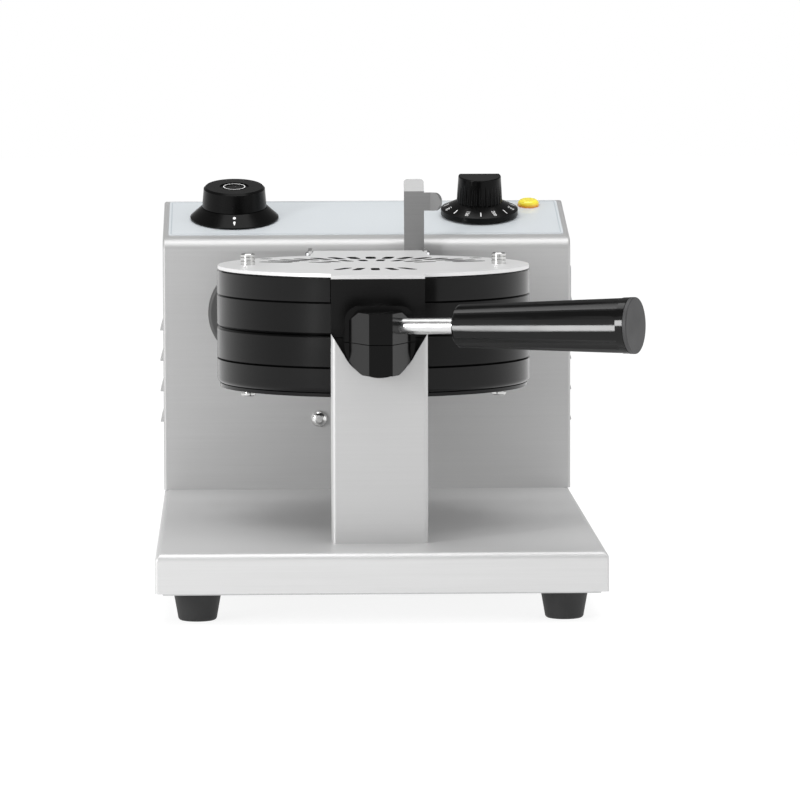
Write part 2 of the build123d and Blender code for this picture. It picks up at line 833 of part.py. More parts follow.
# Thermostat body under the panel
with BuildPart() as thermostat_body:
    with BuildSketch(dial.offset(-sheet)):
        RectangleRounded(thermostat_w, thermostat_w - 8, 2)
    extrude(amount=-thermostat_t)
    with BuildSketch(dial.offset(-sheet)):
        Circle(knob_shaft_r + fit)
    extrude(amount=-thermostat_t / 2, mode=Mode.SUBTRACT)
    with BuildSketch(dial.offset(-sheet)):
        with GridLocations(thermostat_w - 8, 0, 2, 1):
            Circle(m3 + fit)
    extrude(amount=-7, mode=Mode.SUBTRACT)
thermostat_body.part.label = "thermostat_body"
export_step(thermostat_body.part, "parts/thermostat_body.step")

# Thermostat screws under the dial
with BuildPart() as thermostat_screws:
    with BuildSketch(dial.offset(label_t)):
        with GridLocations(thermostat_w - 8, 0, 2, 1):
            Circle(2.7)
    extrude(amount=1.8)
    with BuildSketch(dial.offset(label_t)):
        with GridLocations(thermostat_w - 8, 0, 2, 1):
            Circle(m3)
    extrude(amount=-(label_t + sheet + 6))
thermostat_screws.part.label = "thermostat_screws"
export_step(thermostat_screws.part, "parts/thermostat_screws.step")

# Thermostat shaft
with BuildPart() as thermostat_shaft:
    with BuildSketch(dial.offset(1 - sheet - thermostat_t / 2)):
        Circle(knob_shaft_r)
    extrude(amount=sheet + thermostat_t / 2 + label_t + dial_lift + dial_h + grip_knob_h / 2)
thermostat_shaft.part.label = "thermostat_shaft"
export_step(thermostat_shaft.part, "parts/thermostat_shaft.step")

# Thermostat knob: a conical dial with a D-shaped, fluted grip
with BuildPart() as thermostat_knob:
    dial_low = label_t + dial_lift
    dial_top = dial_low + dial_h
    with BuildSketch(Plane(dial.origin, x_dir=dial.x_dir, z_dir=-dial.y_dir)):
        Polygon(
            (0, dial_top),
            (0, dial_low + 4),
            (thermostat_w / 2, dial_low + 4),
            (thermostat_w / 2, dial_low),
            (dial_r, dial_low),
            (dial_r, dial_low + dial_rim),
            (grip_knob_r, dial_top),
            align=None,
        )
    revolve(axis=Axis(dial.origin, dial.z_dir))
    with BuildSketch(dial.offset(dial_top)):
        Circle(grip_knob_r)
    extrude(amount=grip_knob_h, taper=degrees(atan2(grip_knob_r - grip_knob_tip_r, grip_knob_h)))
    fillet(thermostat_knob.edges().filter_by(GeomType.CIRCLE).sort_by(Axis.Z)[-1], 0.8)
    with BuildSketch(dial.offset(dial_top)):
        with PolarLocations(grip_knob_r + 0.4, notch_count, 150, 240):
            Circle(1.2)
        with Locations((0, grip_flat + grip_knob_r)):
            Rectangle(3 * grip_knob_r, 2 * grip_knob_r)
    extrude(amount=grip_knob_h, mode=Mode.SUBTRACT)
    with BuildSketch(dial.offset(dial_low)):
        Circle(knob_shaft_r + fit)
    extrude(amount=dial_h + grip_knob_h / 2 + 1, mode=Mode.SUBTRACT)
thermostat_knob.part.label = "thermostat_knob"
export_step(thermostat_knob.part, "parts/thermostat_knob.step")

# Lamp lens: a low dome on the label
with BuildPart() as lamp_lens:
    with BuildSketch(lamp.offset(label_t)):
        Circle(lamp_r)
    extrude(amount=lamp_h)
    fillet(lamp_lens.edges().filter_by(GeomType.CIRCLE).sort_by(Axis.Z)[-1], lamp_h - 1)
lamp_lens.part.label = "lamp_lens"
export_step(lamp_lens.part, "parts/lamp_lens.step")

# Lamp body with a snap ring under the panel
with BuildPart() as lamp_body:
    with BuildSketch(lamp.offset(label_t)):
        Circle(lamp_body_r)
    extrude(amount=-lamp_body_t)
    with BuildSketch(lamp.offset(-sheet)):
        Circle(lamp_r)
    extrude(amount=-2)
lamp_body.part.label = "lamp_body"
export_step(lamp_body.part, "parts/lamp_body.step")

# Switch body in the right wall: bezel outside, hollow case inside with two pivot pockets
with BuildPart() as switch_body:
    with BuildSketch(side.offset(base_w / 2)):
        with Locations((house_front + switch_depth, base_top + switch_up)):
            RectangleRounded(bezel_w, bezel_h, 1.5)
    extrude(amount=bezel_t)
    with BuildSketch(side.offset(base_w / 2)):
        with Locations((house_front + switch_depth, base_top + switch_up)):
            Rectangle(switch_w, switch_h)
    extrude(amount=-switch_t)
    with BuildSketch(side.offset(base_w / 2 + bezel_t)):
        with Locations((house_front + switch_depth, base_top + switch_up)):
            Rectangle(rocker_w + 2 * gap, 2 * (rocker_r + gap))
    extrude(amount=-(bezel_t + rocker_face + 8), mode=Mode.SUBTRACT)
    with BuildSketch(rocker.offset(-(rocker_w / 2 + 1.7))):
        Circle(m3 + fit)
    extrude(amount=rocker_w + 3.4, mode=Mode.SUBTRACT)
switch_body.part.label = "switch_body"
export_step(switch_body.part, "parts/switch_body.step")

# Rocker: part of a disc with two faces at a shallow angle, on two short pivots
with BuildPart() as switch_rocker:
    with BuildSketch(rocker.offset(-rocker_w / 2)):
        with BuildLine():
            tilt = radians(rocker_turn)
            face = rocker_face + 0.5
            reach = (rocker_r**2 - (face * cos(tilt)) ** 2) ** 0.5 - face * sin(tilt)
            top_end = (face, (rocker_r**2 - face**2) ** 0.5)
            low_end = (face + reach * sin(tilt), -reach * cos(tilt))
            back_top = (-2, (rocker_r**2 - 4) ** 0.5)
            back_low = (-2, -((rocker_r**2 - 4) ** 0.5))
            ThreePointArc(low_end, (rocker_r * cos(1.35), -rocker_r * sin(1.35)), back_low)
            Line(back_low, back_top)
            ThreePointArc(back_top, (0, rocker_r), top_end)
            Line(top_end, (face, 0))
            Line((face, 0), low_end)
        make_face()
    extrude(amount=rocker_w)
    with BuildSketch(rocker.offset(-(rocker_w / 2 + 1.5))):
        Circle(m3)
    extrude(amount=rocker_w + 3)
switch_rocker.part.label = "switch_rocker"
export_step(switch_rocker.part, "parts/switch_rocker.step")

# Rotor shaft: hollow, with a shoulder in front of the bush and a hole for the stop pin
with BuildPart() as rotor_shaft:
    with BuildSketch(axis.offset(-yoke_front)):
        Circle(shaft_r)
    extrude(amount=-(stop_front + stop_collar_t + 2 - yoke_front))
    with BuildSketch(axis.offset(-bracket_back)):
        Circle(bush_r)
    extrude(amount=-(bush_front - gap - bracket_back))
    with BuildSketch(axis.offset(-yoke_front)):
        Circle(shaft_bore_r)
    extrude(amount=-(stop_front + stop_collar_t + 2 - yoke_front), mode=Mode.SUBTRACT)
    with BuildSketch(turned):
        with Locations((stop_depth, 0)):
            Circle(stop_pin_r + fit)
    extrude(amount=2 * shaft_r, mode=Mode.SUBTRACT)
rotor_shaft.part.label = "rotor_shaft"
export_step(rotor_shaft.part, "parts/rotor_shaft.step")

# Stop collar on the shaft behind the bearing
with BuildPart() as stop_collar:
    with BuildSketch(axis.offset(-stop_front)):
        Circle(stop_collar_r)
        Circle(shaft_r + fit, mode=Mode.SUBTRACT)
    extrude(amount=-stop_collar_t)
    with BuildSketch(turned):
        with Locations((stop_depth, 0)):
            Circle(stop_pin_r + fit)
    extrude(amount=2 * stop_collar_r, mode=Mode.SUBTRACT)
stop_collar.part.label = "stop_collar"
export_step(stop_collar.part, "parts/stop_collar.step")

# Stop pin through collar and shaft, which meets the ends of the half ring
with BuildPart() as stop_pin:
    with BuildSketch(turned.offset(shaft_bore_r + 1)):
        with Locations((stop_depth, 0)):
            Circle(stop_pin_r)
    extrude(amount=bearing_r - shaft_bore_r - 1)
stop_pin.part.label = "stop_pin"
export_step(stop_pin.part, "parts/stop_pin.step")

# Yoke: a cast bar with round ends across the mould's back, on a hub around the shaft
with BuildPart() as yoke:
    with BuildSketch(axis.offset(-yoke_front)):
        SlotOverall(yoke_w, yoke_h)
    extrude(amount=-yoke_t)
    fillet(yoke.faces().filter_by(Axis.Y).edges(), yoke_edge)
    with BuildSketch(axis.offset(-yoke_back)):
        Circle(yoke_hub_r)
    extrude(amount=-(bracket_depth - yoke_back))
    with BuildSketch(axis.offset(-yoke_front)):
        Circle(shaft_r + fit)
    extrude(amount=-(bracket_depth - yoke_front), mode=Mode.SUBTRACT)
    with BuildSketch(axis.offset(-yoke_front)):
        with Locations(*lug_places):
            Circle(m6 + clear)
    extrude(amount=-yoke_t, mode=Mode.SUBTRACT)
    with BuildSketch(axis.offset(-bracket_depth)):
        with Locations(*bracket_places):
            Circle(m4 + fit)
    extrude(amount=12, mode=Mode.SUBTRACT)
yoke.part.label = "yoke"
export_step(yoke.part, "parts/yoke.step")

# Yoke screws, from behind into the lower mould's lugs
with BuildPart() as yoke_screws:
    with BuildSketch(axis.offset(-yoke_back)):
        with Locations(*lug_places):
            Circle(5)
    extrude(amount=-6)
    with BuildSketch(axis.offset(-(yoke_back + 6))):
        with Locations(*lug_places):
            RegularPolygon(2.6, 6)
    extrude(amount=3, mode=Mode.SUBTRACT)
    with BuildSketch(axis.offset(-yoke_back)):
        with Locations(*lug_places):
            Circle(m6)
    extrude(amount=yoke_t + yoke_gap + lug_screw - 2)
yoke_screws.part.label = "yoke_screws"
export_step(yoke_screws.part, "parts/yoke_screws.step")

# Hinge bracket: a sheet plate with two ears, and a tongue with a lip and a side tab
with BuildPart() as hinge_bracket:
    with BuildSketch(axis.offset(-bracket_depth)):
        with Locations((0, (bracket_up - bracket_low) / 2)):
            Rectangle(bracket_w, bracket_up + bracket_low)
        with Locations((tongue_x + tongue_w / 2, tongue_up / 2)):
            Rectangle(tongue_w, tongue_up)
        Circle(shaft_r + clear, mode=Mode.SUBTRACT)
        with Locations(*bracket_places):
            Circle(m4 + clear, mode=Mode.SUBTRACT)
    extrude(amount=-bracket_t)
    for x in (-bracket_w / 2, bracket_w / 2 - bracket_t):
        with BuildSketch(turned.offset(x)):
            with Locations((hinge_depth, hinge_up)):
                Circle(ear_r)
            with Locations(((hinge_depth + bracket_back) / 2, hinge_up)):
                Rectangle(bracket_back - hinge_depth, 2 * ear_r)
            with Locations((hinge_depth, hinge_up)):
                Circle(hinge_r + fit, mode=Mode.SUBTRACT)
        extrude(amount=bracket_t)
    with BuildSketch(turned.offset(tongue_x)):
        rise = atan2(lip_rise, lip_back)
        Polygon(
            (bracket_depth, tongue_up - bracket_t * tan(rise / 2)),
            (bracket_depth, tongue_up),
            (bracket_depth + lip_back, tongue_up + lip_rise),
            (
                bracket_depth + lip_back + bracket_t * sin(rise),
                tongue_up + lip_rise - bracket_t * cos(rise),
            ),
            (bracket_back, tongue_up - bracket_t * tan(rise / 2)),
            align=None,
        )
    extrude(amount=tongue_w)
    tips = hinge_bracket.faces().sort_by(Axis.Z)[-1].edges().filter_by(Axis.X, reverse=True)
    fillet(tips, 2.5)
    with BuildSketch(floor.offset(axis_z + tab_up - tab_h / 2)):
        tab_x = tongue_x + tongue_w + tab_flat
        miter = bracket_t * tan(radians(22.5))
        Polygon(
            (tab_x - tab_flat - 1, bracket_depth),
            (tab_x, bracket_depth),
            (tab_x + tab_reach, bracket_depth - tab_reach),
            (tab_x + tab_reach + bracket_t / 2**0.5, bracket_depth - tab_reach + bracket_t / 2**0.5),
            (tab_x + miter, bracket_back),
            (tab_x - tab_flat - 1, bracket_back),
            align=None,
        )
    extrude(amount=tab_h)
    tab_faces = hinge_bracket.faces().filter_by_position(Axis.Z, axis_z + tab_up - 1, axis_z + tab_up + 1)
    tab_end = tab_faces.sort_by(Axis((0, 0, 0), (1, -1, 0)))[-1]
    fillet(tab_end.edges().filter_by(Axis.Z, reverse=True), tab_h / 2 - 0.1)
hinge_bracket.part.label = "hinge_bracket"
export_step(hinge_bracket.part, "parts/hinge_bracket.step")

# Bracket screws into the yoke's hub
with BuildPart() as bracket_screws:
    with BuildSketch(axis.offset(-bracket_back)):
        with Locations(*bracket_places):
            Circle(3.6)
    extrude(amount=-2)
    fillet(bracket_screws.edges().filter_by(GeomType.CIRCLE).group_by(Axis.Y)[-1], 1)
    with BuildSketch(axis.offset(-bracket_back)):
        with Locations(*bracket_places):
            Circle(m4)
    extrude(amount=bracket_t + 10)
bracket_screws.part.label = "bracket_screws"
export_step(bracket_screws.part, "parts/bracket_screws.step")

# Hinge pin through both ears, headed at each end
with BuildPart() as hinge_pin:
    with BuildSketch(turned.offset(-bracket_w / 2)):
        with Locations((hinge_depth, hinge_up)):
            Circle(hinge_r)
    extrude(amount=bracket_w)
    with BuildSketch(turned.offset(-bracket_w / 2)):
        with Locations((hinge_depth, hinge_up)):
            Circle(hinge_r + 1.5)
    extrude(amount=-2)
    with BuildSketch(turned.offset(bracket_w / 2)):
        with Locations((hinge_depth, hinge_up)):
            Circle(hinge_r + 1.5)
    extrude(amount=2)
    fillet(hinge_pin.edges().filter_by(GeomType.CIRCLE).group_by(Axis.X)[0], 1)
    fillet(hinge_pin.edges().filter_by(GeomType.CIRCLE).group_by(Axis.X)[-1], 1)
hinge_pin.part.label = "hinge_pin"
export_step(hinge_pin.part, "parts/hinge_pin.step")

# Blank of one mould ring, below the parting plane: ring with a ledge for the grid plate, front
# block, bosses for the studs and rim screws, and the hole of the hub's tie stud
with BuildPart() as mould_blank:
    with BuildSketch(mould.offset(-parting)):
        Circle(mould_r)
    extrude(amount=-(mould_t - parting))
    chamfer(mould_blank.edges().filter_by(GeomType.CIRCLE), mould_edge)
    with BuildSketch(mould.offset(-parting)):
        with Locations((0, block_front + block_len / 2 - mould_depth)):
            Rectangle(block_w, block_len)
    extrude(amount=-(back_t - parting))
    with BuildSketch(mould.offset(-parting)):
        Circle(cavity_r)
    extrude(amount=-(grid_seat - parting), mode=Mode.SUBTRACT)
    with BuildSketch(mould.offset(-grid_seat)):
        Circle(ledge_r)
    extrude(amount=-(back_t - grid_seat), mode=Mode.SUBTRACT)
    with BuildSketch(mould.offset(-mould_t)):
        with Locations(*stud_places):
            Circle(boss_r)
    extrude(amount=-casing_t)
    with BuildSketch(mould.offset(-mould_t)):
        with Locations(*rim_places):
            Circle(boss_r - 1)
    extrude(amount=-(casing_t - sheet))
    with BuildSketch(mould.offset(-back_t)):
        with Locations(*stud_places):
            Circle(stud_shank + fit)
    extrude(amount=back_t - grid_seat, mode=Mode.SUBTRACT)
    with BuildSketch(mould.offset(-back_t)):
        with Locations(*rim_places):
            Circle(m4 + fit)
    extrude(amount=9, mode=Mode.SUBTRACT)
    with BuildSketch(axis.offset(-block_front)):
        with Locations((tie_x, -tie_up)):
            Circle(m6 + fit)
    extrude(amount=-(tie_back + 0.5 - block_front), mode=Mode.SUBTRACT)

# Lower mould ring, with the rear lugs that the yoke holds
with BuildPart() as lower_mould:
    add(mould_blank.part)
    with BuildSketch(axis.offset(-yoke_front)):
        with Locations(*lug_places):
            Rectangle(lug_w, lug_h)
    extrude(amount=lug_screw + 4)
    with BuildSketch(mould.offset(-parting)):
        Circle(cavity_r)
    extrude(amount=-(grid_seat - parting), mode=Mode.SUBTRACT)
    with BuildSketch(axis.offset(-yoke_front)):
        with Locations(*lug_places):
            Circle(m6 + fit)
    extrude(amount=lug_screw, mode=Mode.SUBTRACT)
lower_mould.part.label = "lower_mould"
export_step(lower_mould.part, "parts/lower_mould.step")

# Upper mould ring, the blank turned over
with BuildPart() as upper_mould:
    mirror(mould_blank.part, about=mould)
upper_mould.part.label = "upper_mould"
export_step(upper_mould.part, "parts/upper_mould.step")

# Lower grid plate: a stepped disc on the ring's ledge, with tapered pins and two blind holes
# for the studs that hold it
with BuildPart() as lower_grid:
    with BuildSketch(mould.offset(-mould_t)):
        Circle(ledge_r - fit)
    extrude(amount=mould_t - grid_seat)
    with BuildSketch(mould.offset(-grid_seat)):
        Circle(cavity_r - fit)
    extrude(amount=grid_rim_t)
    with BuildSketch(mould.offset(-parting - cavity_deep)):
        steps = range(-int(cavity_r / pin_pitch), int(cavity_r / pin_pitch) + 1)
        spots = [(i * pin_pitch, j * pin_pitch) for i in steps for j in steps]
        with Locations(*[p for p in spots if hypot(*p) + 0.71 * pin_side < cavity_r - 2]):
            Rectangle(pin_side, pin_side)
    extrude(amount=pin_h, taper=pin_taper)
    with BuildSketch(mould.offset(-grid_seat)):
        with Locations(*stud_places):
            Circle(stud_shank + fit)
    extrude(amount=stud_grip + 0.5, mode=Mode.SUBTRACT)
lower_grid.part.label = "lower_grid"
export_step(lower_grid.part, "parts/lower_grid.step")

# Upper grid plate
with BuildPart() as upper_grid:
    mirror(lower_grid.part, about=mould)
upper_grid.part.label = "upper_grid"
export_step(upper_grid.part, "parts/upper_grid.step")

# Lower heater: an open ring of tube under the mould
with BuildPart() as lower_heater:
    turn = radians(15)
    with BuildSketch(Plane(mould.origin, x_dir=(sin(turn), cos(turn), 0), z_dir=(cos(turn), -sin(turn), 0))):
        with Locations((heater_r, -(mould_t + gap + heater_wire))):
            Circle(heater_wire)
    revolve(axis=Axis(mould.origin, (0, 0, -1)), revolution_arc=330)
lower_heater.part.label = "lower_heater"
export_step(lower_heater.part, "parts/lower_heater.step")

# Upper heater
with BuildPart() as upper_heater:
    mirror(lower_heater.part, about=mould)
upper_heater.part.label = "upper_heater"
export_step(upper_heater.part, "parts/upper_heater.step")

# Lower insulation pad between heater and plate
with BuildPart() as lower_pad:
    with BuildSketch(mould.offset(-(back_t - sheet))):
        Circle(pad_r)
        with Locations((0, block_front + block_len / 2 - mould_depth)):
            Rectangle(block_w + 1, block_len + 1, mode=Mode.SUBTRACT)
        with Locations(*stud_places, *rim_places):
            Circle(boss_r + 0.5, mode=Mode.SUBTRACT)
    extrude(amount=pad_t)
lower_pad.part.label = "lower_pad"
export_step(lower_pad.part, "parts/lower_pad.step")

# Upper insulation pad
with BuildPart() as upper_pad:
    mirror(lower_pad.part, about=mould)
upper_pad.part.label = "upper_pad"
export_step(upper_pad.part, "parts/upper_pad.step")

# Lower casing: an open ring with a flange for the plate, its lower edge well rounded
with BuildPart() as lower_casing:
    with BuildSketch(Plane(mould.origin, x_dir=(1, 0, 0), z_dir=(0, -1, 0))) as wall:
        Polygon(
            (mould_r, -mould_t),
            (mould_r, -back_t),
            (mould_r - casing_flange, -back_t),
            (mould_r - casing_flange, -(back_t - sheet)),
            (mould_r - sheet, -(back_t - sheet)),
            (mould_r - sheet, -mould_t),
            align=None,
        )
        fillet(wall.vertices().group_by(Axis.Y)[1].sort_by(Axis.X)[-1], casing_round - sheet)
        fillet(wall.vertices().group_by(Axis.Y)[0].sort_by(Axis.X)[-1], casing_round)
    revolve(axis=Axis(mould.origin, (0, 0, 1)))
    with BuildSketch(mould.offset(-mould_t)):
        with Locations((0, block_front + block_len / 2 - mould_depth)):
            Rectangle(block_w + 2 * gap, block_len + 2 * gap)
        with Locations(*rim_places):
            Circle(m4 + clear)
    extrude(amount=-casing_t, mode=Mode.SUBTRACT)
lower_casing.part.label = "lower_casing"
export_step(lower_casing.part, "parts/lower_casing.step")

# Upper casing: the same ring with a sharper upper edge
with BuildPart() as upper_casing:
    with BuildSketch(Plane(mould.origin, x_dir=(1, 0, 0), z_dir=(0, -1, 0))) as wall:
        Polygon(
            (mould_r, mould_t),
            (mould_r, back_t),
            (mould_r - casing_flange, back_t),
            (mould_r - casing_flange, back_t - sheet),
            (mould_r - sheet, back_t - sheet),
            (mould_r - sheet, mould_t),
            align=None,
        )
        fillet(wall.vertices().sort_by(Axis.X)[-2:].sort_by(Axis.Y)[-1], casing_round / 3)
    revolve(axis=Axis(mould.origin, (0, 0, 1)))
    with BuildSketch(mould.offset(mould_t)):
        with Locations((0, block_front + block_len / 2 - mould_depth)):
            Rectangle(block_w + 2 * gap, block_len + 2 * gap)
        with Locations(*rim_places):
            Circle(m4 + clear)
    extrude(amount=casing_t, mode=Mode.SUBTRACT)
upper_casing.part.label = "upper_casing"
export_step(upper_casing.part, "parts/upper_casing.step")

# Lower plate, with a tab under the front block
with BuildPart() as lower_plate:
    with BuildSketch(mould.offset(-back_t)):
        Circle(mould_r - casing_round / 2)
        with Locations((0, block_front + block_len / 2 - mould_depth)):
            Rectangle(block_w, block_len)
        with Locations(*stud_places):
            Circle(stud_shank + clear, mode=Mode.SUBTRACT)
        with Locations(*rim_places):
            Circle(m4 + clear, mode=Mode.SUBTRACT)
    extrude(amount=-plate_t)
    with BuildSketch(mould.offset(-half_h)):
        with Locations(*rim_places):
            Circle(rim_head_r)
    extrude(amount=rim_head_h, taper=45, mode=Mode.SUBTRACT)
lower_plate.part.label = "lower_plate"
export_step(lower_plate.part, "parts/lower_plate.step")

# Lid plate: disc with front tab, arcs of vent slots, and a strap back to the hinge barrel
with BuildPart() as lid_plate:
    with BuildSketch(mould.offset(back_t)):
        Circle(mould_r - 0.5)
        with Locations((0, block_front + block_len / 2 - mould_depth)):
            Rectangle(block_w, block_len)
        strap_root = (mould_r**2 - (strap_root_w / 2) ** 2) ** 0.5 - 3
        Polygon(
            (-strap_root_w / 2, strap_root),
            (strap_root_w / 2, strap_root),
            (strap_w / 2, hinge_depth - ear_r - ear_gap - mould_depth),
            (strap_w / 2, hinge_depth - mould_depth),
            (-strap_w / 2, hinge_depth - mould_depth),
            (-strap_w / 2, hinge_depth - ear_r - ear_gap - mould_depth),
            align=None,
        )
        with PolarLocations(0.67 * mould_r, 15, 22, 136, endpoint=True):
            SlotOverall(21, 6, mode=Mode.SUBTRACT)
        with PolarLocations(0.4 * mould_r, 8, 32, 116, endpoint=True):
            SlotOverall(15, 5, mode=Mode.SUBTRACT)
        with PolarLocations(0.5 * mould_r, 5, 246, 48, endpoint=True):
            SlotOverall(20, 5, mode=Mode.SUBTRACT)
        with Locations(*stud_places):
            Circle(stud_shank + clear, mode=Mode.SUBTRACT)
        with Locations(*rim_places):
            Circle(m4 + clear, mode=Mode.SUBTRACT)
    extrude(amount=plate_t)
    with BuildSketch(mould.offset(half_h)):
        with Locations(*rim_places):
            Circle(rim_head_r)
    extrude(amount=-rim_head_h, taper=45, mode=Mode.SUBTRACT)
    with BuildSketch(turned.offset(-strap_w / 2)):
        with Locations((hinge_depth, hinge_up)):
            Circle(barrel_r)
    extrude(amount=strap_w)
    with BuildSketch(turned.offset(-strap_w / 2)):
        with Locations((hinge_depth, hinge_up)):
            Circle(hinge_r + fit)
    extrude(amount=strap_w, mode=Mode.SUBTRACT)
lid_plate.part.label = "lid_plate"
export_step(lid_plate.part, "parts/lid_plate.step")

# Upper studs: tall round heads with two grooves, through lid plate and ring into the grid plate
with BuildPart() as upper_studs:
    for sx in (-1, 1):
        centre = mould.from_local_coords((sx * stud_x, 0, half_h))
        with BuildSketch(Plane(centre, x_dir=(1, 0, 0), z_dir=(0, -1, 0))):
            Polygon(
                (0, -(stud_deep + plate_t)),
                (stud_shank, -(stud_deep + plate_t)),
                (stud_shank, 0),
                (stud_r, 0),
                (stud_r, 0.3 * stud_h),
                (stud_r - 0.4, 0.36 * stud_h),
                (stud_r, 0.42 * stud_h),
                (stud_r, 0.62 * stud_h),
                (stud_r - 0.4, 0.68 * stud_h),
                (stud_r, 0.74 * stud_h),
                (stud_r, stud_h - 0.6),
                (stud_r - 0.6, stud_h),
                (0, stud_h),
                align=None,
            )
        revolve(axis=Axis(centre, (0, 0, 1)))
upper_studs.part.label = "upper_studs"
export_step(upper_studs.part, "parts/upper_studs.step")

# Lower studs
with BuildPart() as lower_studs:
    mirror(upper_studs.part, about=mould)
lower_studs.part.label = "lower_studs"
export_step(lower_studs.part, "parts/lower_studs.step")

# Upper rim screws, countersunk, through plate and casing flange into the mould
with BuildPart() as upper_rim_screws:
    with BuildSketch(mould.offset(half_h)):
        with Locations(*rim_places):
            Circle(rim_head_r)
    extrude(amount=-rim_head_h, taper=45)
    with BuildSketch(mould.offset(half_h)):
        with Locations(*rim_places):
            Circle(m4)
    extrude(amount=-(plate_t + 8))
    with BuildSketch(mould.offset(half_h)):
        with Locations(*rim_places):
            RegularPolygon(rim_hex_r, 6)
    extrude(amount=-rim_hex_deep, mode=Mode.SUBTRACT)
upper_rim_screws.part.label = "upper_rim_screws"
export_step(upper_rim_screws.part, "parts/upper_rim_screws.step")

# Lower rim screws
with BuildPart() as lower_rim_screws:
    mirror(upper_rim_screws.part, about=mould)
lower_rim_screws.part.label = "lower_rim_screws"
export_step(lower_rim_screws.part, "parts/lower_rim_screws.step")

# Blank of the front hub, whole: journal, collar and a faceted knob that narrows to the front
with BuildPart() as hub_blank:
    with BuildSketch(axis.offset(-journal_front)):
        Circle(journal_r)
    extrude(amount=-(block_front - journal_front))
    with BuildSketch(axis.offset(-hub_back)):
        RectangleRounded(collar_w, 2 * journal_r, collar_corner)
    extrude(amount=-collar_t)
    with BuildSketch(axis.offset(-hub_depth)) as face:
        Rectangle(hub_w, 2 * hub_h)
        chamfer(face.vertices(), hub_corner)
    extrude(amount=-(hub_back - hub_depth))
    with BuildSketch(floor.offset(axis_z - 2 * journal_r)):
        Polygon(
            (-hub_nose_w / 2, hub_depth),
            (hub_nose_w / 2, hub_depth),
            (hub_w / 2, hub_back),
            (collar_w, hub_back),
            (collar_w, block_front + 1),
            (-collar_w, block_front + 1),
            (-collar_w, hub_back),
            (-hub_w / 2, hub_back),
            align=None,
        )
    extrude(amount=4 * journal_r, mode=Mode.INTERSECT)
    with BuildSketch(axis.offset(-block_front)):
        with Locations((tie_x, tie_up), (tie_x, -tie_up)):
            Circle(m6 + fit)
    extrude(amount=block_front - tie_front + 0.5, mode=Mode.SUBTRACT)

# Lower hub half, its knob and collar turned down to the journal's radius
with BuildPart() as lower_hub:
    add(hub_blank.part)
    split(bisect_by=mould.offset(-parting), keep=Keep.BOTTOM)
    with BuildSketch(axis.offset(-hub_depth)):
        Circle(journal_r)
    extrude(amount=-(block_front - hub_depth), mode=Mode.INTERSECT)
lower_hub.part.label = "lower_hub"
export_step(lower_hub.part, "parts/lower_hub.step")

# Upper hub half, drilled for the handle rod
with BuildPart() as upper_hub:
    add(hub_blank.part)
    split(bisect_by=mould.offset(parting), keep=Keep.TOP)
    with BuildSketch(handle.offset(-rod_root - 0.5)):
        Circle(rod_r + fit)
    extrude(amount=4 * rod_root, mode=Mode.SUBTRACT)
upper_hub.part.label = "upper_hub"
export_step(upper_hub.part, "parts/upper_hub.step")

# Tie studs between each hub half and its mould's front block
with BuildPart() as lower_tie:
    with BuildSketch(axis.offset(-tie_front)):
        with Locations((tie_x, -tie_up)):
            Circle(m6)
    extrude(amount=-(tie_back - tie_front))
lower_tie.part.label = "lower_tie"
export_step(lower_tie.part, "parts/lower_tie.step")

with BuildPart() as upper_tie:
    mirror(lower_tie.part, about=mould)
upper_tie.part.label = "upper_tie"
export_step(upper_tie.part, "parts/upper_tie.step")

# Handle rod from the hub into the grip
with BuildPart() as handle_rod:
    with BuildSketch(handle.offset(-rod_root)):
        Circle(rod_r)
    extrude(amount=rod_root + rod_shown + rod_hold)
handle_rod.part.label = "handle_rod"
export_step(handle_rod.part, "parts/handle_rod.step")

# Handle grip: widens outwards, with a rounded start and shallow flutes that end before its end
with BuildPart() as handle_grip:
    with BuildSketch(Plane(handle.origin, x_dir=handle.z_dir, z_dir=handle.x_dir)) as outline:
        Polygon(
            (rod_shown, 0),
            (rod_shown, -grip_r0),
            (grip_end, -grip_r1),
            (grip_end, 0),
            align=None,
        )
        fillet(outline.vertices().sort_by(Axis.X)[:2].sort_by(Axis.Y)[0], grip_round)
    revolve(axis=Axis(handle.origin, handle.z_dir))
    flare = atan2(grip_r1 - grip_r0, grip_len)
    for k in range(flute_count):
        turn = radians(k * 360 / flute_count + flute_turn)
        out = handle.x_dir * cos(turn) + handle.y_dir * sin(turn)
        run = handle.z_dir * cos(flare) + out * sin(flare)
        start = handle.origin + handle.z_dir * (rod_shown - 5)
        start += out * (grip_r0 - 5 * tan(flare) + flute_r - flute_deep)
        with BuildSketch(Plane(start, x_dir=out.cross(run), z_dir=run)):
            Circle(flute_r)
        extrude(amount=grip_len + 5 - flute_stop, mode=Mode.SUBTRACT)
    with BuildSketch(handle.offset(rod_shown)):
        Circle(rod_r + fit)
    extrude(amount=rod_hold + 0.5, mode=Mode.SUBTRACT)
handle_grip.part.label = "handle_grip"
export_step(handle_grip.part, "parts/handle_grip.step")

# Grip end cap
with BuildPart() as grip_cap:
    with BuildSketch(handle.offset(grip_end)):
        Circle(grip_r1)
    extrude(amount=grip_cap_t)
    fillet(grip_cap.edges().filter_by(GeomType.CIRCLE), 0.6)
grip_cap.part.label = "grip_cap"
export_step(grip_cap.part, "parts/grip_cap.step")
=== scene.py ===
import math

import bmesh
import bpy
from mathutils import Matrix, Vector


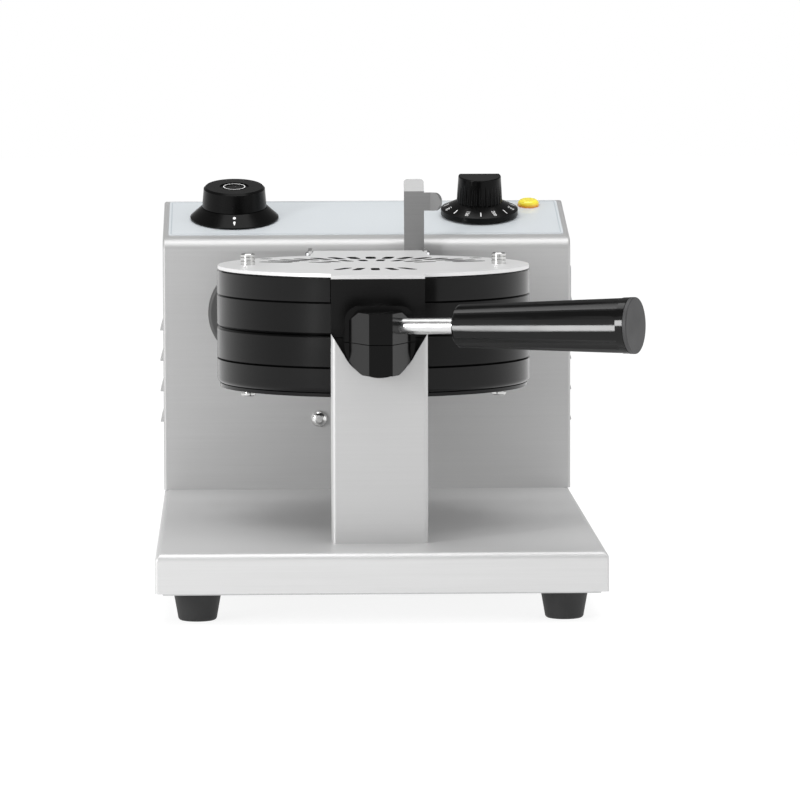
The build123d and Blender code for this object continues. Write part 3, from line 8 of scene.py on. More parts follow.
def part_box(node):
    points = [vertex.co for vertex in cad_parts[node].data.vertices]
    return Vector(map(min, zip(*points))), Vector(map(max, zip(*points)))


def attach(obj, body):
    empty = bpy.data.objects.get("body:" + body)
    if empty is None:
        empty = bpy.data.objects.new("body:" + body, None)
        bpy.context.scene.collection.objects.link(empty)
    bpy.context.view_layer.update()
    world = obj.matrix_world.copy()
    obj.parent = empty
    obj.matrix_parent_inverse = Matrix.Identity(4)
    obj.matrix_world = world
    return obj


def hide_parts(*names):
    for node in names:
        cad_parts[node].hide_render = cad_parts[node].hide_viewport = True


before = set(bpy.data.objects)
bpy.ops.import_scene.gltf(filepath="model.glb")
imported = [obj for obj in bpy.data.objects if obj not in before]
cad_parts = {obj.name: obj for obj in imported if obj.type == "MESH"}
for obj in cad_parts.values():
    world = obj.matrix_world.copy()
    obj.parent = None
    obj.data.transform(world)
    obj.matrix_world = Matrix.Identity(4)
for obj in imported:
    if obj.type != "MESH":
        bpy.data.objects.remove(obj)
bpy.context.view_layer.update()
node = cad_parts

# Base pan
# One sheet of 1.5 mm stainless steel 1.4301, folded down on all sides with a rounded top edge.
# It is satin brushed along its width, which blurs what it mirrors into soft bands.


def linear(hex_colour):
    """An sRGB hex colour as the linear values that a colour socket takes."""
    parts = [int(hex_colour[i:i + 2], 16) / 255 for i in (1, 3, 5)]
    return tuple(
        p / 12.92 if p <= 0.04045 else ((p + 0.055) / 1.055) ** 2.4 for p in parts) + (1.0,)


def connect(tree, made, links):
    """Links a node's inputs to sockets or to nodes' first outputs, or sets them to values.
    A number stands for an input by its place, such as the two colours of a Mix."""
    for key, value in links.items():
        for one in value if isinstance(value, list) else [value]:
            if isinstance(one, bpy.types.Node):
                one = one.outputs[0]
            if isinstance(one, bpy.types.NodeSocket):
                tree.links.new(one, made.inputs[key])
            else:
                made.inputs[key].default_value = one


def add_node(tree, kind, links=None, **settings):
    """A new node with its settings, and its inputs linked or set."""
    made = tree.nodes.new(kind)
    for name, value in settings.items():
        setattr(made, name, value)
    connect(tree, made, links or {})
    return made


def start_material(name, **fixed):
    """A node material, its tree, its Principled surface with the fixed values, and the outputs
    that say where a point lies and how it faces."""
    material = bpy.data.materials.new(name)
    material.use_nodes = True
    tree = material.node_tree
    tree.nodes.clear()
    surface = add_node(tree, "ShaderNodeBsdfPrincipled", {
        socket.replace("_", " "): value for socket, value in fixed.items()})
    add_node(tree, "ShaderNodeOutputMaterial", {"Surface": surface})
    return material, tree, surface, add_node(tree, "ShaderNodeTexCoord").outputs


def give(material, *names):
    """The named CAD nodes take this material."""
    for name in names:
        for slot in node[name].material_slots:
            slot.material = material


# Nearly all of a noise texture lies in this span.
noise_span = {"From Min": 0.3, "From Max": 0.7}


def brushed_sheet(name, light, dark, rough, metallic=0.72, streak_mm=1.1, relief=0.03):
    """Brushed sheet steel. Streaks run along X, and along Y on walls that face sideways. In life
    they are about 0.1 mm wide, and here streak_mm, so that they show, and some 70 mm long. The
    share that isn't metallic stands for the light that the fine scratches scatter. Hands leave
    faint smears about 90 mm wide."""
    material, tree, surface, place = start_material(name, Metallic=metallic)
    fine, lengthwise, smear = 1000 / streak_mm, 14, 0.05
    streaks = []
    for scale in ((lengthwise, fine, fine), (fine, lengthwise, fine)):
        stretched = add_node(tree, "ShaderNodeMapping", {0: place["Object"], "Scale": scale})
        streaks.append(add_node(tree, "ShaderNodeTexNoise", {
            "Vector": stretched, "Scale": 1, "Detail": 3}))
    facing = add_node(tree, "ShaderNodeSeparateXYZ", {0: place["Normal"]})
    sideways = add_node(tree, "ShaderNodeMath", {0: facing.outputs["X"]}, operation="ABSOLUTE")
    lines = add_node(tree, "ShaderNodeMix", {0: sideways, 2: streaks[0], 3: streaks[1]})
    handled = add_node(tree, "ShaderNodeTexNoise", {
        "Vector": place["Object"], "Scale": 11, "Detail": 3})
    tone = add_node(tree, "ShaderNodeMix", {
        0: lines, 6: linear(dark), 7: linear(light)}, data_type="RGBA")
    roughness = add_node(tree, "ShaderNodeMapRange", {
        "Value": lines, **noise_span, "To Min": rough[0], "To Max": rough[1]})
    smeared = add_node(tree, "ShaderNodeMath", {
        0: handled, 1: smear, 2: roughness}, operation="MULTIPLY_ADD")
    bump = add_node(tree, "ShaderNodeBump", {
        "Height": lines, "Strength": relief, "Distance": 0.0002})
    connect(tree, surface, {"Base Color": tone.outputs[2], "Roughness": smeared, "Normal": bump})
    return material


pan_steel = brushed_sheet(
    "stainless_steel_satin_brushed", "#D3D3D3", "#C9C9C9", rough=(0.38, 0.46), metallic=0.42)
give(pan_steel, "base_pan")
base_low, base_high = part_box("base_pan")


def spot(x, depth, z):
    """A place in millimetres: from the middle, from the base's front edge and from the floor."""
    middle = (base_low.x + base_high.x) / 2
    return Vector((middle + x / 1000, base_low.y + depth / 1000, z / 1000))


# Bottom plate
# A 1.2 mm stainless closing plate under the pan's lip, punched with two columns of vent slots.
# It is the mill's plain rolled finish, smoother and a little greyer than the brushed pan.
rolled = brushed_sheet(
    "stainless_steel_rolled", "#C4C5C5", "#B9BABA", rough=(0.22, 0.30), streak_mm=2.5)
give(rolled, "bottom_plate")

# Feet and their screws
# Four moulded rubber pads under the pan's corners. A zinc-plated pan-head screw with a cross
# recess sits in each foot's counterbore and runs up into a nut on the pan's lip.

# The mould's skin is drawn 1.1 mm coarse so that it shows, and dust lies in patches of 18 mm.
rubber, tree, surface, place = start_material("rubber_moulded_black", Roughness=0.62)
skin = add_node(tree, "ShaderNodeTexNoise", {"Vector": place["Object"], "Scale": 900, "Detail": 3})
dust = add_node(tree, "ShaderNodeTexNoise", {"Vector": place["Object"], "Scale": 55, "Detail": 4})
tone = add_node(tree, "ShaderNodeMix", {
    0: dust, 6: linear("#161617"), 7: linear("#2B2B2B")}, data_type="RGBA")
bump = add_node(tree, "ShaderNodeBump", {"Height": skin, "Strength": 0.3, "Distance": 0.0003})
connect(tree, surface, {"Base Color": tone.outputs[2], "Normal": bump})
give(rubber, "rubber_feet")


def turned_metal(name, light, dark, rough, grain_mm, relief=0.08):
    """Plated, cast or turned metal with an even fine grain of grain_mm."""
    material, tree, surface, place = start_material(name, Metallic=1.0)
    grain = add_node(tree, "ShaderNodeTexNoise", {
        "Vector": place["Object"], "Scale": 1000 / grain_mm, "Detail": 4})
    tone = add_node(tree, "ShaderNodeMix", {
        0: grain, 6: linear(dark), 7: linear(light)}, data_type="RGBA")
    roughness = add_node(tree, "ShaderNodeMapRange", {
        "Value": grain, **noise_span, "To Min": rough[0], "To Max": rough[1]})
    bump = add_node(tree, "ShaderNodeBump", {
        "Height": grain, "Strength": relief, "Distance": 0.0002})
    connect(tree, surface, {
        "Base Color": tone.outputs[2], "Roughness": roughness, "Normal": bump})
    return material


zinc = turned_metal("steel_zinc_plated", "#C9CACA", "#AEAFAF", rough=(0.22, 0.34), grain_mm=1.2)
give(zinc, "m5_nuts")


def start_tree(name, **inputs):
    """An empty Geometry Nodes tree with a geometry input, named inputs and a geometry output."""
    tree = bpy.data.node_groups.new(name, "GeometryNodeTree")
    tree.interface.new_socket("Geometry", in_out="INPUT", socket_type="NodeSocketGeometry")
    for label, kind in inputs.items():
        tree.interface.new_socket(
            label.replace("_", " "), in_out="INPUT", socket_type="NodeSocket" + kind)
    tree.interface.new_socket("Geometry", in_out="OUTPUT", socket_type="NodeSocketGeometry")
    return tree, add_node(tree, "NodeGroupInput").outputs


def end_tree(tree, instances, material):
    """Makes a tree's instances real, gives them their material and hands them out."""
    real = add_node(tree, "GeometryNodeRealizeInstances", {0: instances})
    covered = add_node(tree, "GeometryNodeSetMaterial", {0: real, "Material": material})
    add_node(tree, "NodeGroupOutput", {0: covered})


# The head is a grid bent into a flat dome, and two crossed bars cut the recess out of it.
dome_bend, arm_share, arm_depth = 0.55, 0.26, 1.1
screw_tree, given = start_tree(
    "cross_recess_screws", Head_Radius="Float", Head_Height="Float", Shank_Radius="Float",
    Shank_Length="Float", Recess="Float", Turn="Vector", Metal="Material")
sheet = add_node(screw_tree, "GeometryNodeMeshGrid", {"Vertices X": 29, "Vertices Y": 17})
where = add_node(screw_tree, "GeometryNodeInputPosition")
where = add_node(screw_tree, "ShaderNodeSeparateXYZ", {0: where}).outputs
round_about = add_node(screw_tree, "ShaderNodeMath", {
    0: where["X"], 1: math.tau}, operation="MULTIPLY")
from_top = add_node(screw_tree, "ShaderNodeMath", {
    0: where["Y"], 1: -math.pi, 2: math.pi / 2}, operation="MULTIPLY_ADD")
out = add_node(screw_tree, "ShaderNodeMath", {0: from_top}, operation="SINE")
out = add_node(screw_tree, "ShaderNodeMath", {
    0: out, 1: given["Head Radius"]}, operation="MULTIPLY")
level = add_node(screw_tree, "ShaderNodeMath", {0: from_top}, operation="COSINE")
level = add_node(screw_tree, "ShaderNodeMath", {0: level, 1: 0.0}, operation="MAXIMUM")
crown = add_node(screw_tree, "ShaderNodeMath", {0: level, 1: dome_bend}, operation="POWER")
up = add_node(screw_tree, "ShaderNodeMath", {
    0: crown, 1: given["Head Height"]}, operation="MULTIPLY")
ring = []
for wave in ("COSINE", "SINE"):
    part_way = add_node(screw_tree, "ShaderNodeMath", {0: round_about}, operation=wave)
    ring.append(add_node(screw_tree, "ShaderNodeMath", {0: part_way, 1: out}, operation="MULTIPLY"))
shape = add_node(screw_tree, "ShaderNodeCombineXYZ", {0: ring[0], 1: ring[1], 2: up})
domed = add_node(screw_tree, "GeometryNodeSetPosition", {0: sheet, "Position": shape})
head = add_node(screw_tree, "GeometryNodeMergeByDistance", {0: domed, "Distance": 0.000001})
arm = add_node(screw_tree, "ShaderNodeMath", {
    0: given["Recess"], 1: arm_share}, operation="MULTIPLY")
deep = add_node(screw_tree, "ShaderNodeMath", {
    0: given["Head Height"], 1: arm_depth}, operation="MULTIPLY")
raised = add_node(screw_tree, "ShaderNodeCombineXYZ", {2: given["Head Height"]})
arms = []
for first, second in ((given["Recess"], arm), (arm, given["Recess"])):
    size = add_node(screw_tree, "ShaderNodeCombineXYZ", {0: first, 1: second, 2: deep})
    bar = add_node(screw_tree, "GeometryNodeMeshCube", {"Size": size})
    arms.append(add_node(screw_tree, "GeometryNodeTransform", {0: bar, "Translation": raised}))
driven = add_node(screw_tree, "GeometryNodeMeshBoolean", {
    "Mesh 1": head, "Mesh 2": arms}, operation="DIFFERENCE", solver="EXACT")
shank = add_node(screw_tree, "GeometryNodeMeshCylinder", {
    "Vertices": 16, "Radius": given["Shank Radius"], "Depth": given["Shank Length"]})
half = add_node(screw_tree, "ShaderNodeMath", {
    0: given["Shank Length"], 1: -0.5}, operation="MULTIPLY")
lowered = add_node(screw_tree, "ShaderNodeCombineXYZ", {2: half})
sunk = add_node(screw_tree, "GeometryNodeTransform", {0: shank, "Translation": lowered})
screw = add_node(screw_tree, "GeometryNodeJoinGeometry", {0: [driven, sunk]})
turned = add_node(screw_tree, "FunctionNodeEulerToRotation", {0: given["Turn"]})
stood = add_node(screw_tree, "GeometryNodeInstanceOnPoints", {
    "Points": given["Geometry"], "Instance": screw, "Rotation": turned})
drawn_up = add_node(screw_tree, "FunctionNodeRandomValue", {
    2: 0.0, 3: math.tau, "Seed": 4}, data_type="FLOAT")
spin = add_node(screw_tree, "ShaderNodeCombineXYZ", {2: drawn_up.outputs[1]})
spun = add_node(screw_tree, "GeometryNodeRotateInstances", {0: stood, "Rotation": spin})
end_tree(screw_tree, spun, given["Metal"])


def finish_piece(piece, body, slot, *replaced):
    """Smooths a finished mesh up to its sharp edges, gives it its body and hides the CAD nodes it
    replaces. The slot is not used.
    """
    for face in piece.data.polygons:
        face.use_smooth = True
    piece.data.set_sharp_from_angle(angle=math.radians(35))
    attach(piece, body)
    if replaced:
        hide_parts(*replaced)


def grow(name, tree, points, moved=None, **sizes):
    """A plain mesh piece that a Geometry Nodes tree makes on points, with the tree's inputs set."""
    mesh = bpy.data.meshes.new(name)
    mesh.from_pydata(points, [], [])
    piece = bpy.data.objects.new(name, mesh)
    nodes = piece.modifiers.new("made", "NODES")
    nodes.node_group = tree
    for item in tree.interface.items_tree:
        key = item.name.replace(" ", "_")
        if item.in_out == "INPUT" and key in sizes:
            nodes[item.identifier] = sizes[key]
    bpy.context.collection.objects.link(piece)
    made = piece.evaluated_get(bpy.context.evaluated_depsgraph_get())
    result = bpy.data.meshes.new_from_object(made)
    piece.modifiers.clear()
    piece.data = result
    if moved:
        result.transform(moved)
    return piece


def screws(name, body, replaced, places, turn, head_r, head_h, shank_r, shank_len, recess):
    """A group of like zinc-plated screws on the given places, head along the turned Z."""
    piece = grow(
        name, screw_tree, places, Head_Radius=head_r / 1000, Head_Height=head_h / 1000,
        Shank_Radius=shank_r / 1000, Shank_Length=shank_len / 1000, Recess=recess / 1000,
        Turn=turn, Metal=zinc)
    finish_piece(piece, body, "screw_steel", replaced)


face_down = (math.pi, 0, 0)
face_back = (-math.pi / 2, 0, 0)
face_up = (0, 0, 0)
foot_side, foot_rows, counterbore_up = 102, (30, 395), 9
screws("foot_screw_group", "stand", "foot_screws",
       [spot(x, depth, counterbore_up) for x in (-foot_side, foot_side) for depth in foot_rows],
       face_down, head_r=4.5, head_h=3.2, shank_r=2.5, shank_len=15.5, recess=4.6)

# Front post
# A 2 mm stainless channel, folded and satin brushed, with an open notch that carries the
# mould's front journal. Two screws hold its foot flange to the pan.
post_steel = brushed_sheet(
    "stainless_steel_post_brushed", "#C6C6C6", "#BEBEBE", rough=(0.36, 0.44), metallic=0.6)
give(post_steel, "front_post")
post_screw_side, post_screw_depth, post_flange_up = 15, 64, 42
m5_spots = [spot(x, post_screw_depth, post_flange_up) for x in (-post_screw_side, post_screw_side)]

# Housing
# A shell folded from brushed stainless sheet, painted a little darker than the pan's as painted
# shade, with four louvres pressed into each side. Zinc-plated M5 screws hold its flanges and the
# post's foot to the pan.
housing_steel_painted_shade = brushed_sheet(
    "stainless_steel_housing_brushed", "#C0C0C0", "#B7B7B7", rough=(0.38, 0.46), metallic=0.5)
give(housing_steel_painted_shade, "housing_shell")
shell_screw_side, shell_screw_rows, shell_flange_up = 116, (355, 403.8), 41.5
m5_spots += [spot(x, depth, shell_flange_up)
             for x in (-shell_screw_side, shell_screw_side) for depth in shell_screw_rows]
screws("m5_screw_group", "stand", "m5_screws", m5_spots, face_up,
       head_r=4.5, head_h=3, shank_r=2.5, shank_len=8.5, recess=4.6)

# Back cover, cable gland and terminal block
# The cover is rolled stainless sheet with punched vent slots, held by six pan-head screws. The
# gland is moulded nylon with bend relief rings, the terminal block a pale moulded thermoset.
give(rolled, "back_cover")
cover_screw_side, cover_back, pan_top, cover_screw_rows = 117.5, 425, 40, (20, 84.15, 153)
screws("back_screw_group", "stand", "back_screws",
       [spot(x, cover_back, pan_top + up)
        for x in (-cover_screw_side, cover_screw_side) for up in cover_screw_rows],
       face_back, head_r=3.6, head_h=2, shank_r=1.95, shank_len=6.7, recess=3.8)


def moulded(name, base, worn, rough, grain_mm, relief, specular=0.5):
    """Moulded plastic or stoved enamel: an even colour, handling marks some 20 mm wide, and a
    grain of grain_mm."""
    material, tree, surface, place = start_material(name, Specular_IOR_Level=specular)
    grain = add_node(tree, "ShaderNodeTexNoise", {
        "Vector": place["Object"], "Scale": 1000 / grain_mm, "Detail": 2})
    marks = add_node(tree, "ShaderNodeTexNoise", {
        "Vector": place["Object"], "Scale": 45, "Detail": 5})
    tone = add_node(tree, "ShaderNodeMix", {
        0: marks, 6: linear(base), 7: linear(worn)}, data_type="RGBA")
    roughness = add_node(tree, "ShaderNodeMapRange", {
        "Value": marks, "From Min": 0.35, "From Max": 0.7, "To Min": rough[0], "To Max": rough[1]})
    bump = add_node(tree, "ShaderNodeBump", {
        "Height": grain, "Strength": relief, "Distance": 0.0002})
    connect(tree, surface, {
        "Base Color": tone.outputs[2], "Roughness": roughness, "Normal": bump})
    return material


nylon = moulded(
    "nylon_moulded_black", "#131314", "#1F1F20", rough=(0.38, 0.5), grain_mm=0.9, relief=0.2)
give(nylon, "cable_gland")
ring_count = 5
ring_tree, given = start_tree(
    "bend_relief_rings", Radius="Float", Taper="Float", Pitch="Float", Wire="Float",
    Plastic="Material")
path, section = [
    add_node(ring_tree, "GeometryNodeCurvePrimitiveCircle", {"Resolution": count, "Radius": radius})
    for count, radius in ((40, given["Radius"]), (8, given["Wire"]))]
ring = add_node(ring_tree, "GeometryNodeCurveToMesh", {0: path, 1: section})
step = add_node(ring_tree, "ShaderNodeCombineXYZ", {2: given["Pitch"]})
row = add_node(ring_tree, "GeometryNodeMeshLine", {"Count": ring_count, "Offset": step})
index = add_node(ring_tree, "GeometryNodeInputIndex")
narrower = add_node(ring_tree, "ShaderNodeMath", {
    0: index, 1: given["Taper"]}, operation="MULTIPLY")
shrink = add_node(ring_tree, "ShaderNodeMath", {0: 1.0, 1: narrower}, operation="SUBTRACT")
scale = add_node(ring_tree, "ShaderNodeCombineXYZ", {0: shrink, 1: shrink, 2: 1.0})
rings = add_node(ring_tree, "GeometryNodeInstanceOnPoints", {
    "Points": row, "Instance": ring, "Scale": scale})
end_tree(ring_tree, rings, given["Plastic"])
gland_side, gland_root, gland_up = -80, 430, 64
gland_line = (Matrix.Translation(spot(gland_side, gland_root, gland_up))
              @ Matrix.Rotation(-math.pi / 2, 4, "X"))
piece = grow("gland_relief_rings", ring_tree, [(0, 0, 0)], gland_line,
             Radius=0.0078, Taper=0.0265, Pitch=0.0024, Wire=0.0005, Plastic=nylon)
finish_piece(piece, "stand", "gland_plastic")
thermoset = moulded(
    "thermoset_moulded_pale", "#D8D3C6", "#C7C1B2", rough=(0.45, 0.6), grain_mm=0.8, relief=0.15)
give(thermoset, "terminal_block")

# Panel label
# A polyester film 0.4 mm thick, printed a pale cool grey on its back and left plain, with a
# thin darker border line. Its surface is fine and even, glossier than the steel around it.

# The film's grain is 0.6 mm, coarser than in life, and a haze of some 70 mm lies over the colour.
film, tree, surface, place = start_material(
    "polyester_film_printed", Coat_Weight=0.3, Coat_Roughness=0.12)
label_low, label_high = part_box("panel_label")
middle = (label_low + label_high) / 2
side_inset, end_inset, line_half = 0.0016, 0.0022, 0.0004
centred = add_node(tree, "ShaderNodeVectorMath", {
    0: place["Object"], 1: middle}, operation="SUBTRACT")
apart = add_node(tree, "ShaderNodeVectorMath", {0: centred}, operation="ABSOLUTE")
apart = add_node(tree, "ShaderNodeSeparateXYZ", {0: apart}).outputs
on_line, within = [], []
for axis, inset in ((0, side_inset), (1, end_inset)):
    edge = (label_high - label_low)[axis] / 2 - inset
    on_line.append(add_node(tree, "ShaderNodeMath", {
        0: apart[axis], 1: edge, 2: line_half}, operation="COMPARE"))
    within.append(add_node(tree, "ShaderNodeMath", {
        0: apart[axis], 1: edge + line_half}, operation="LESS_THAN"))
strips = [add_node(tree, "ShaderNodeMath", {0: on_line[a], 1: within[1 - a]}, operation="MULTIPLY")
          for a in (0, 1)]
line = add_node(tree, "ShaderNodeMath", {0: strips[0], 1: strips[1]}, operation="MAXIMUM")
grain = add_node(tree, "ShaderNodeTexNoise", {
    "Vector": place["Object"], "Scale": 1600, "Detail": 2})
haze = add_node(tree, "ShaderNodeTexNoise", {"Vector": place["Object"], "Scale": 14, "Detail": 2})
field = add_node(tree, "ShaderNodeMix", {
    0: haze, 6: linear("#CDD2D5"), 7: linear("#C7CCD0")}, data_type="RGBA")
tone = add_node(tree, "ShaderNodeMix", {
    0: line, 6: field.outputs[2], 7: linear("#B3BABF")}, data_type="RGBA")
rough = add_node(tree, "ShaderNodeMapRange", {
    "Value": grain, **noise_span, "To Min": 0.3, "To Max": 0.42})
bump = add_node(tree, "ShaderNodeBump", {"Height": grain, "Strength": 0.06, "Distance": 0.0002})
connect(tree, surface, {"Base Color": tone.outputs[2], "Roughness": rough, "Normal": bump})
give(film, "panel_label")

# Bearing and its screws
# The bearing housing behind the front wall is turned steel with a dull phosphate skin, the
# bush is brass. Four polished dome-headed screws hold the housing to the wall.
phosphated = turned_metal(
    "steel_phosphated", "#6E6E6E", "#585859", rough=(0.42, 0.55), grain_mm=1.5, relief=0.15)
brass = turned_metal("brass_turned", "#D9B36A", "#C49C52", rough=(0.22, 0.34), grain_mm=0.6)
polished = turned_metal(
    "stainless_steel_polished", "#E4E4E3", "#D6D6D5", rough=(0.10, 0.18), grain_mm=2.0, relief=0.03)
give(phosphated, "bearing_housing")
give(brass, "bearing_bush")
give(polished, "wall_screws")

# Timer
# A black phenolic knob in two parts over a nut: a flared skirt with a white pointer mark, and
# a cap with a dished top and a thin white ring. The clockwork below sits in a grey moulded case.
control_case = moulded(
    "polyamide_moulded_grey", "#3A3B3D", "#48494B", rough=(0.45, 0.6), grain_mm=0.7, relief=0.2)
knob_black = moulded(
    "phenolic_moulded_satin_black", "#040404", "#070707", rough=(0.22, 0.30),
    grain_mm=0.5, relief=0.06, specular=0.12)
give(control_case, "timer_body")
give(zinc, "timer_nut", "timer_shaft")
give(knob_black, "timer_skirt", "timer_cap")
# The ink is worn in specks of about 1 mm.
white_ink, tree, surface, place = start_material("epoxy_ink_white", Roughness=0.5)
worn = add_node(tree, "ShaderNodeTexNoise", {"Vector": place["Object"], "Scale": 900, "Detail": 3})
tone = add_node(tree, "ShaderNodeMix", {
    0: worn, 6: linear("#F2F2F2"), 7: linear("#DCDCDC")}, data_type="RGBA")
connect(tree, surface, {"Base Color": tone.outputs[2]})

panel_run, panel_rise, panel_front, panel_foot_up = 90, 20, 335, 193
panel_slope = math.atan2(panel_rise, panel_run)


def on_panel(x, up):
    """The turn and place of a control on the sloped panel, x from the middle and up the slope."""
    place = spot(x, panel_front + up * math.cos(panel_slope),
                 panel_foot_up + up * math.sin(panel_slope))
    return Matrix.Translation(place) @ Matrix.Rotation(panel_slope, 4, "X")


def piece_from(name, build, material):
    """A plain mesh piece from a finished bmesh, in one material."""
    mesh = bpy.data.meshes.new(name)
    build.to_mesh(mesh)
    build.free()
    mesh.materials.append(material)
    piece = bpy.data.objects.new(name, mesh)
    bpy.context.collection.objects.link(piece)
    return piece


def printed_mark(name, outline):
    """A mark in white ink, 0.06 mm thick, as a closed mesh from its outline in millimetres."""
    build = bmesh.new()
    corners = [build.verts.new((x / 1000, y / 1000, 0)) for x, y in outline]
    face = build.faces.new(corners)
    pushed = bmesh.ops.extrude_face_region(build, geom=[face])
    for vertex in pushed["geom"]:
        if isinstance(vertex, bmesh.types.BMVert):
            vertex.co.z += 0.06 / 1000
    bmesh.ops.recalc_face_normals(build, faces=build.faces)
    return piece_from(name, build, white_ink)


timer_place = on_panel(-81, 50)
skirt_rim_r, skirt_rim_up, skirt_tip_r, skirt_tip_up = 27.4, 1.7, 20.3, 8.2
skirt_fall = math.atan2(skirt_tip_up - skirt_rim_up, skirt_rim_r - skirt_tip_r)
dot_r, dot_reach, drop_r, drop_reach = 0.95, 22.1, 0.75, 24.9
drop_middle, shoulder_side, shoulder_down, tip_down = 0.7, 0.45, 0.6, 1.7
dot = [(dot_r * math.cos(a * math.tau / 20), dot_r * math.sin(a * math.tau / 20))
       for a in range(20)]
drop = [(drop_r * math.cos(a * math.pi / 10), drop_middle + drop_r * math.sin(a * math.pi / 10))
        for a in range(11)]
drop += [(-shoulder_side, -shoulder_down), (0, -tip_down), (shoulder_side, -shoulder_down)]
for name, outline, reach in (
        ("timer_pointer_dot", dot, dot_reach), ("timer_pointer_drop", drop, drop_reach)):
    height = skirt_tip_up - (reach - skirt_tip_r) * math.tan(skirt_fall)
    lying = (Matrix.Translation((0, -reach / 1000, height / 1000))
             @ Matrix.Rotation(skirt_fall, 4, "X"))
    piece = printed_mark(name, outline)
    piece.data.transform(timer_place @ lying)
    finish_piece(piece, "timer_dial", "knob_plastic")
cap_top, dish_depth, ring_in, ring_out, ring_low, ring_high = 21.0, 0.7, 6.35, 6.85, 0.02, 0.07
button_top = cap_top - dish_depth / 3
around = [(math.cos(a * math.tau / 48), math.sin(a * math.tau / 48)) for a in range(48)]
build = bmesh.new()
loops = []
for radius, height in ((ring_in, ring_low), (ring_in, ring_high),
                       (ring_out, ring_high), (ring_out, ring_low)):
    loops.append([build.verts.new((
        radius / 1000 * x, radius / 1000 * y, (button_top + height) / 1000)) for x, y in around])
for one, other in zip(loops, loops[1:] + loops[:1]):
    for a in range(len(around)):
        build.faces.new((one[a - 1], one[a], other[a], other[a - 1]))
bmesh.ops.recalc_face_normals(build, faces=build.faces)
piece = piece_from("timer_cap_ring", build, white_ink)
piece.data.transform(timer_place)
finish_piece(piece, "timer_dial", "knob_plastic")

# Thermostat
# A black phenolic knob: a fluted grip with a flat on a conical dial. White strokes and plain
# numbers are printed on the cone. The thermostat below is held by two screws under the dial.
give(control_case, "thermostat_body")
give(zinc, "thermostat_screws", "thermostat_shaft")
give(knob_black, "thermostat_knob")
dial_place = on_panel(71.5, 55)
dial_rim, dial_root, rim_up, root_up = 24, 14.2, 4.7, 9.4
dial_fall = math.atan2(root_up - rim_up, dial_rim - dial_root)
stroke_tree, given = start_tree(
    "dial_strokes", Count="Int", First="Float", Step="Float", Reach="Float", Rise="Float",
    Length="Float", Width="Float", Thickness="Float", Fall="Float", Ink="Material")
block = add_node(stroke_tree, "ShaderNodeCombineXYZ", {
    0: given["Length"], 1: given["Width"], 2: given["Thickness"]})
bar = add_node(stroke_tree, "GeometryNodeMeshCube", {"Size": block})
outward = add_node(stroke_tree, "ShaderNodeCombineXYZ", {0: given["Reach"], 2: given["Rise"]})
fall = add_node(stroke_tree, "ShaderNodeCombineXYZ", {1: given["Fall"]})
fall = add_node(stroke_tree, "FunctionNodeEulerToRotation", {0: fall})
laid = add_node(stroke_tree, "GeometryNodeTransform", {
    0: bar, "Translation": outward, "Rotation": fall})
seats = add_node(stroke_tree, "GeometryNodeMeshLine", {
    "Count": given["Count"], "Offset": (0, 0, 0)})
index = add_node(stroke_tree, "GeometryNodeInputIndex")
angle = add_node(stroke_tree, "ShaderNodeMath", {
    0: index, 1: given["Step"], 2: given["First"]}, operation="MULTIPLY_ADD")
turned = add_node(stroke_tree, "ShaderNodeCombineXYZ", {2: angle})
turned = add_node(stroke_tree, "FunctionNodeEulerToRotation", {0: turned})
strokes = add_node(stroke_tree, "GeometryNodeInstanceOnPoints", {
    "Points": seats, "Instance": laid, "Rotation": turned})
end_tree(stroke_tree, strokes, given["Ink"])


def cone_height(reach):
    """How high the dial's cone stands over the panel at this reach, in millimetres."""
    return rim_up + (dial_rim - reach) * (root_up - rim_up) / (dial_rim - dial_root)


number_count, mark_step = 6, math.radians(48)
first_mark = math.radians(-90) - (number_count - 1) / 2 * mark_step
stroke_reach, stroke_lift, number_reach, number_lift = 20.6, 0.03, 20.3, 0.06
piece = grow("dial_strokes_group", stroke_tree, [(0, 0, 0)], dial_place,
             Count=number_count - 1, First=first_mark + mark_step / 2, Step=mark_step,
             Reach=stroke_reach / 1000, Rise=(cone_height(stroke_reach) + stroke_lift) / 1000,
             Length=0.0036, Width=0.0006, Thickness=0.0001, Fall=dial_fall, Ink=white_ink)
finish_piece(piece, "thermostat_dial", "knob_plastic")
build = bmesh.new()
for i in range(number_count):
    text = bpy.data.curves.new("number", "FONT")
    text.body = str(50 * (i + 1))
    text.size = 0.0031
    text.align_x = text.align_y = "CENTER"
    text.extrude = 0.00005
    text.resolution_u = 3
    written = bpy.data.objects.new("number", text)
    bpy.context.collection.objects.link(written)
    flat = written.evaluated_get(bpy.context.evaluated_depsgraph_get())
    shapes = bpy.data.meshes.new_from_object(flat)
    bpy.data.objects.remove(written)
    lift = (cone_height(number_reach) + number_lift) / 1000
    lying = (Matrix.Rotation(first_mark + i * mark_step, 4, "Z")
             @ Matrix.Translation((number_reach / 1000, 0, lift))
             @ Matrix.Rotation(dial_fall, 4, "Y"))
    shapes.transform(dial_place @ lying)
    build.from_mesh(shapes)
    bpy.data.meshes.remove(shapes)
bmesh.ops.remove_doubles(build, verts=build.verts, dist=0.000002)
piece = piece_from("dial_numbers", build, white_ink)
finish_piece(piece, "thermostat_dial", "knob_plastic")

# Lamp
# A low amber lens of clear-coated polycarbonate with a moulded body snapped in from below. Its
# colour deepens to orange towards its foot, where the wall is thicker.

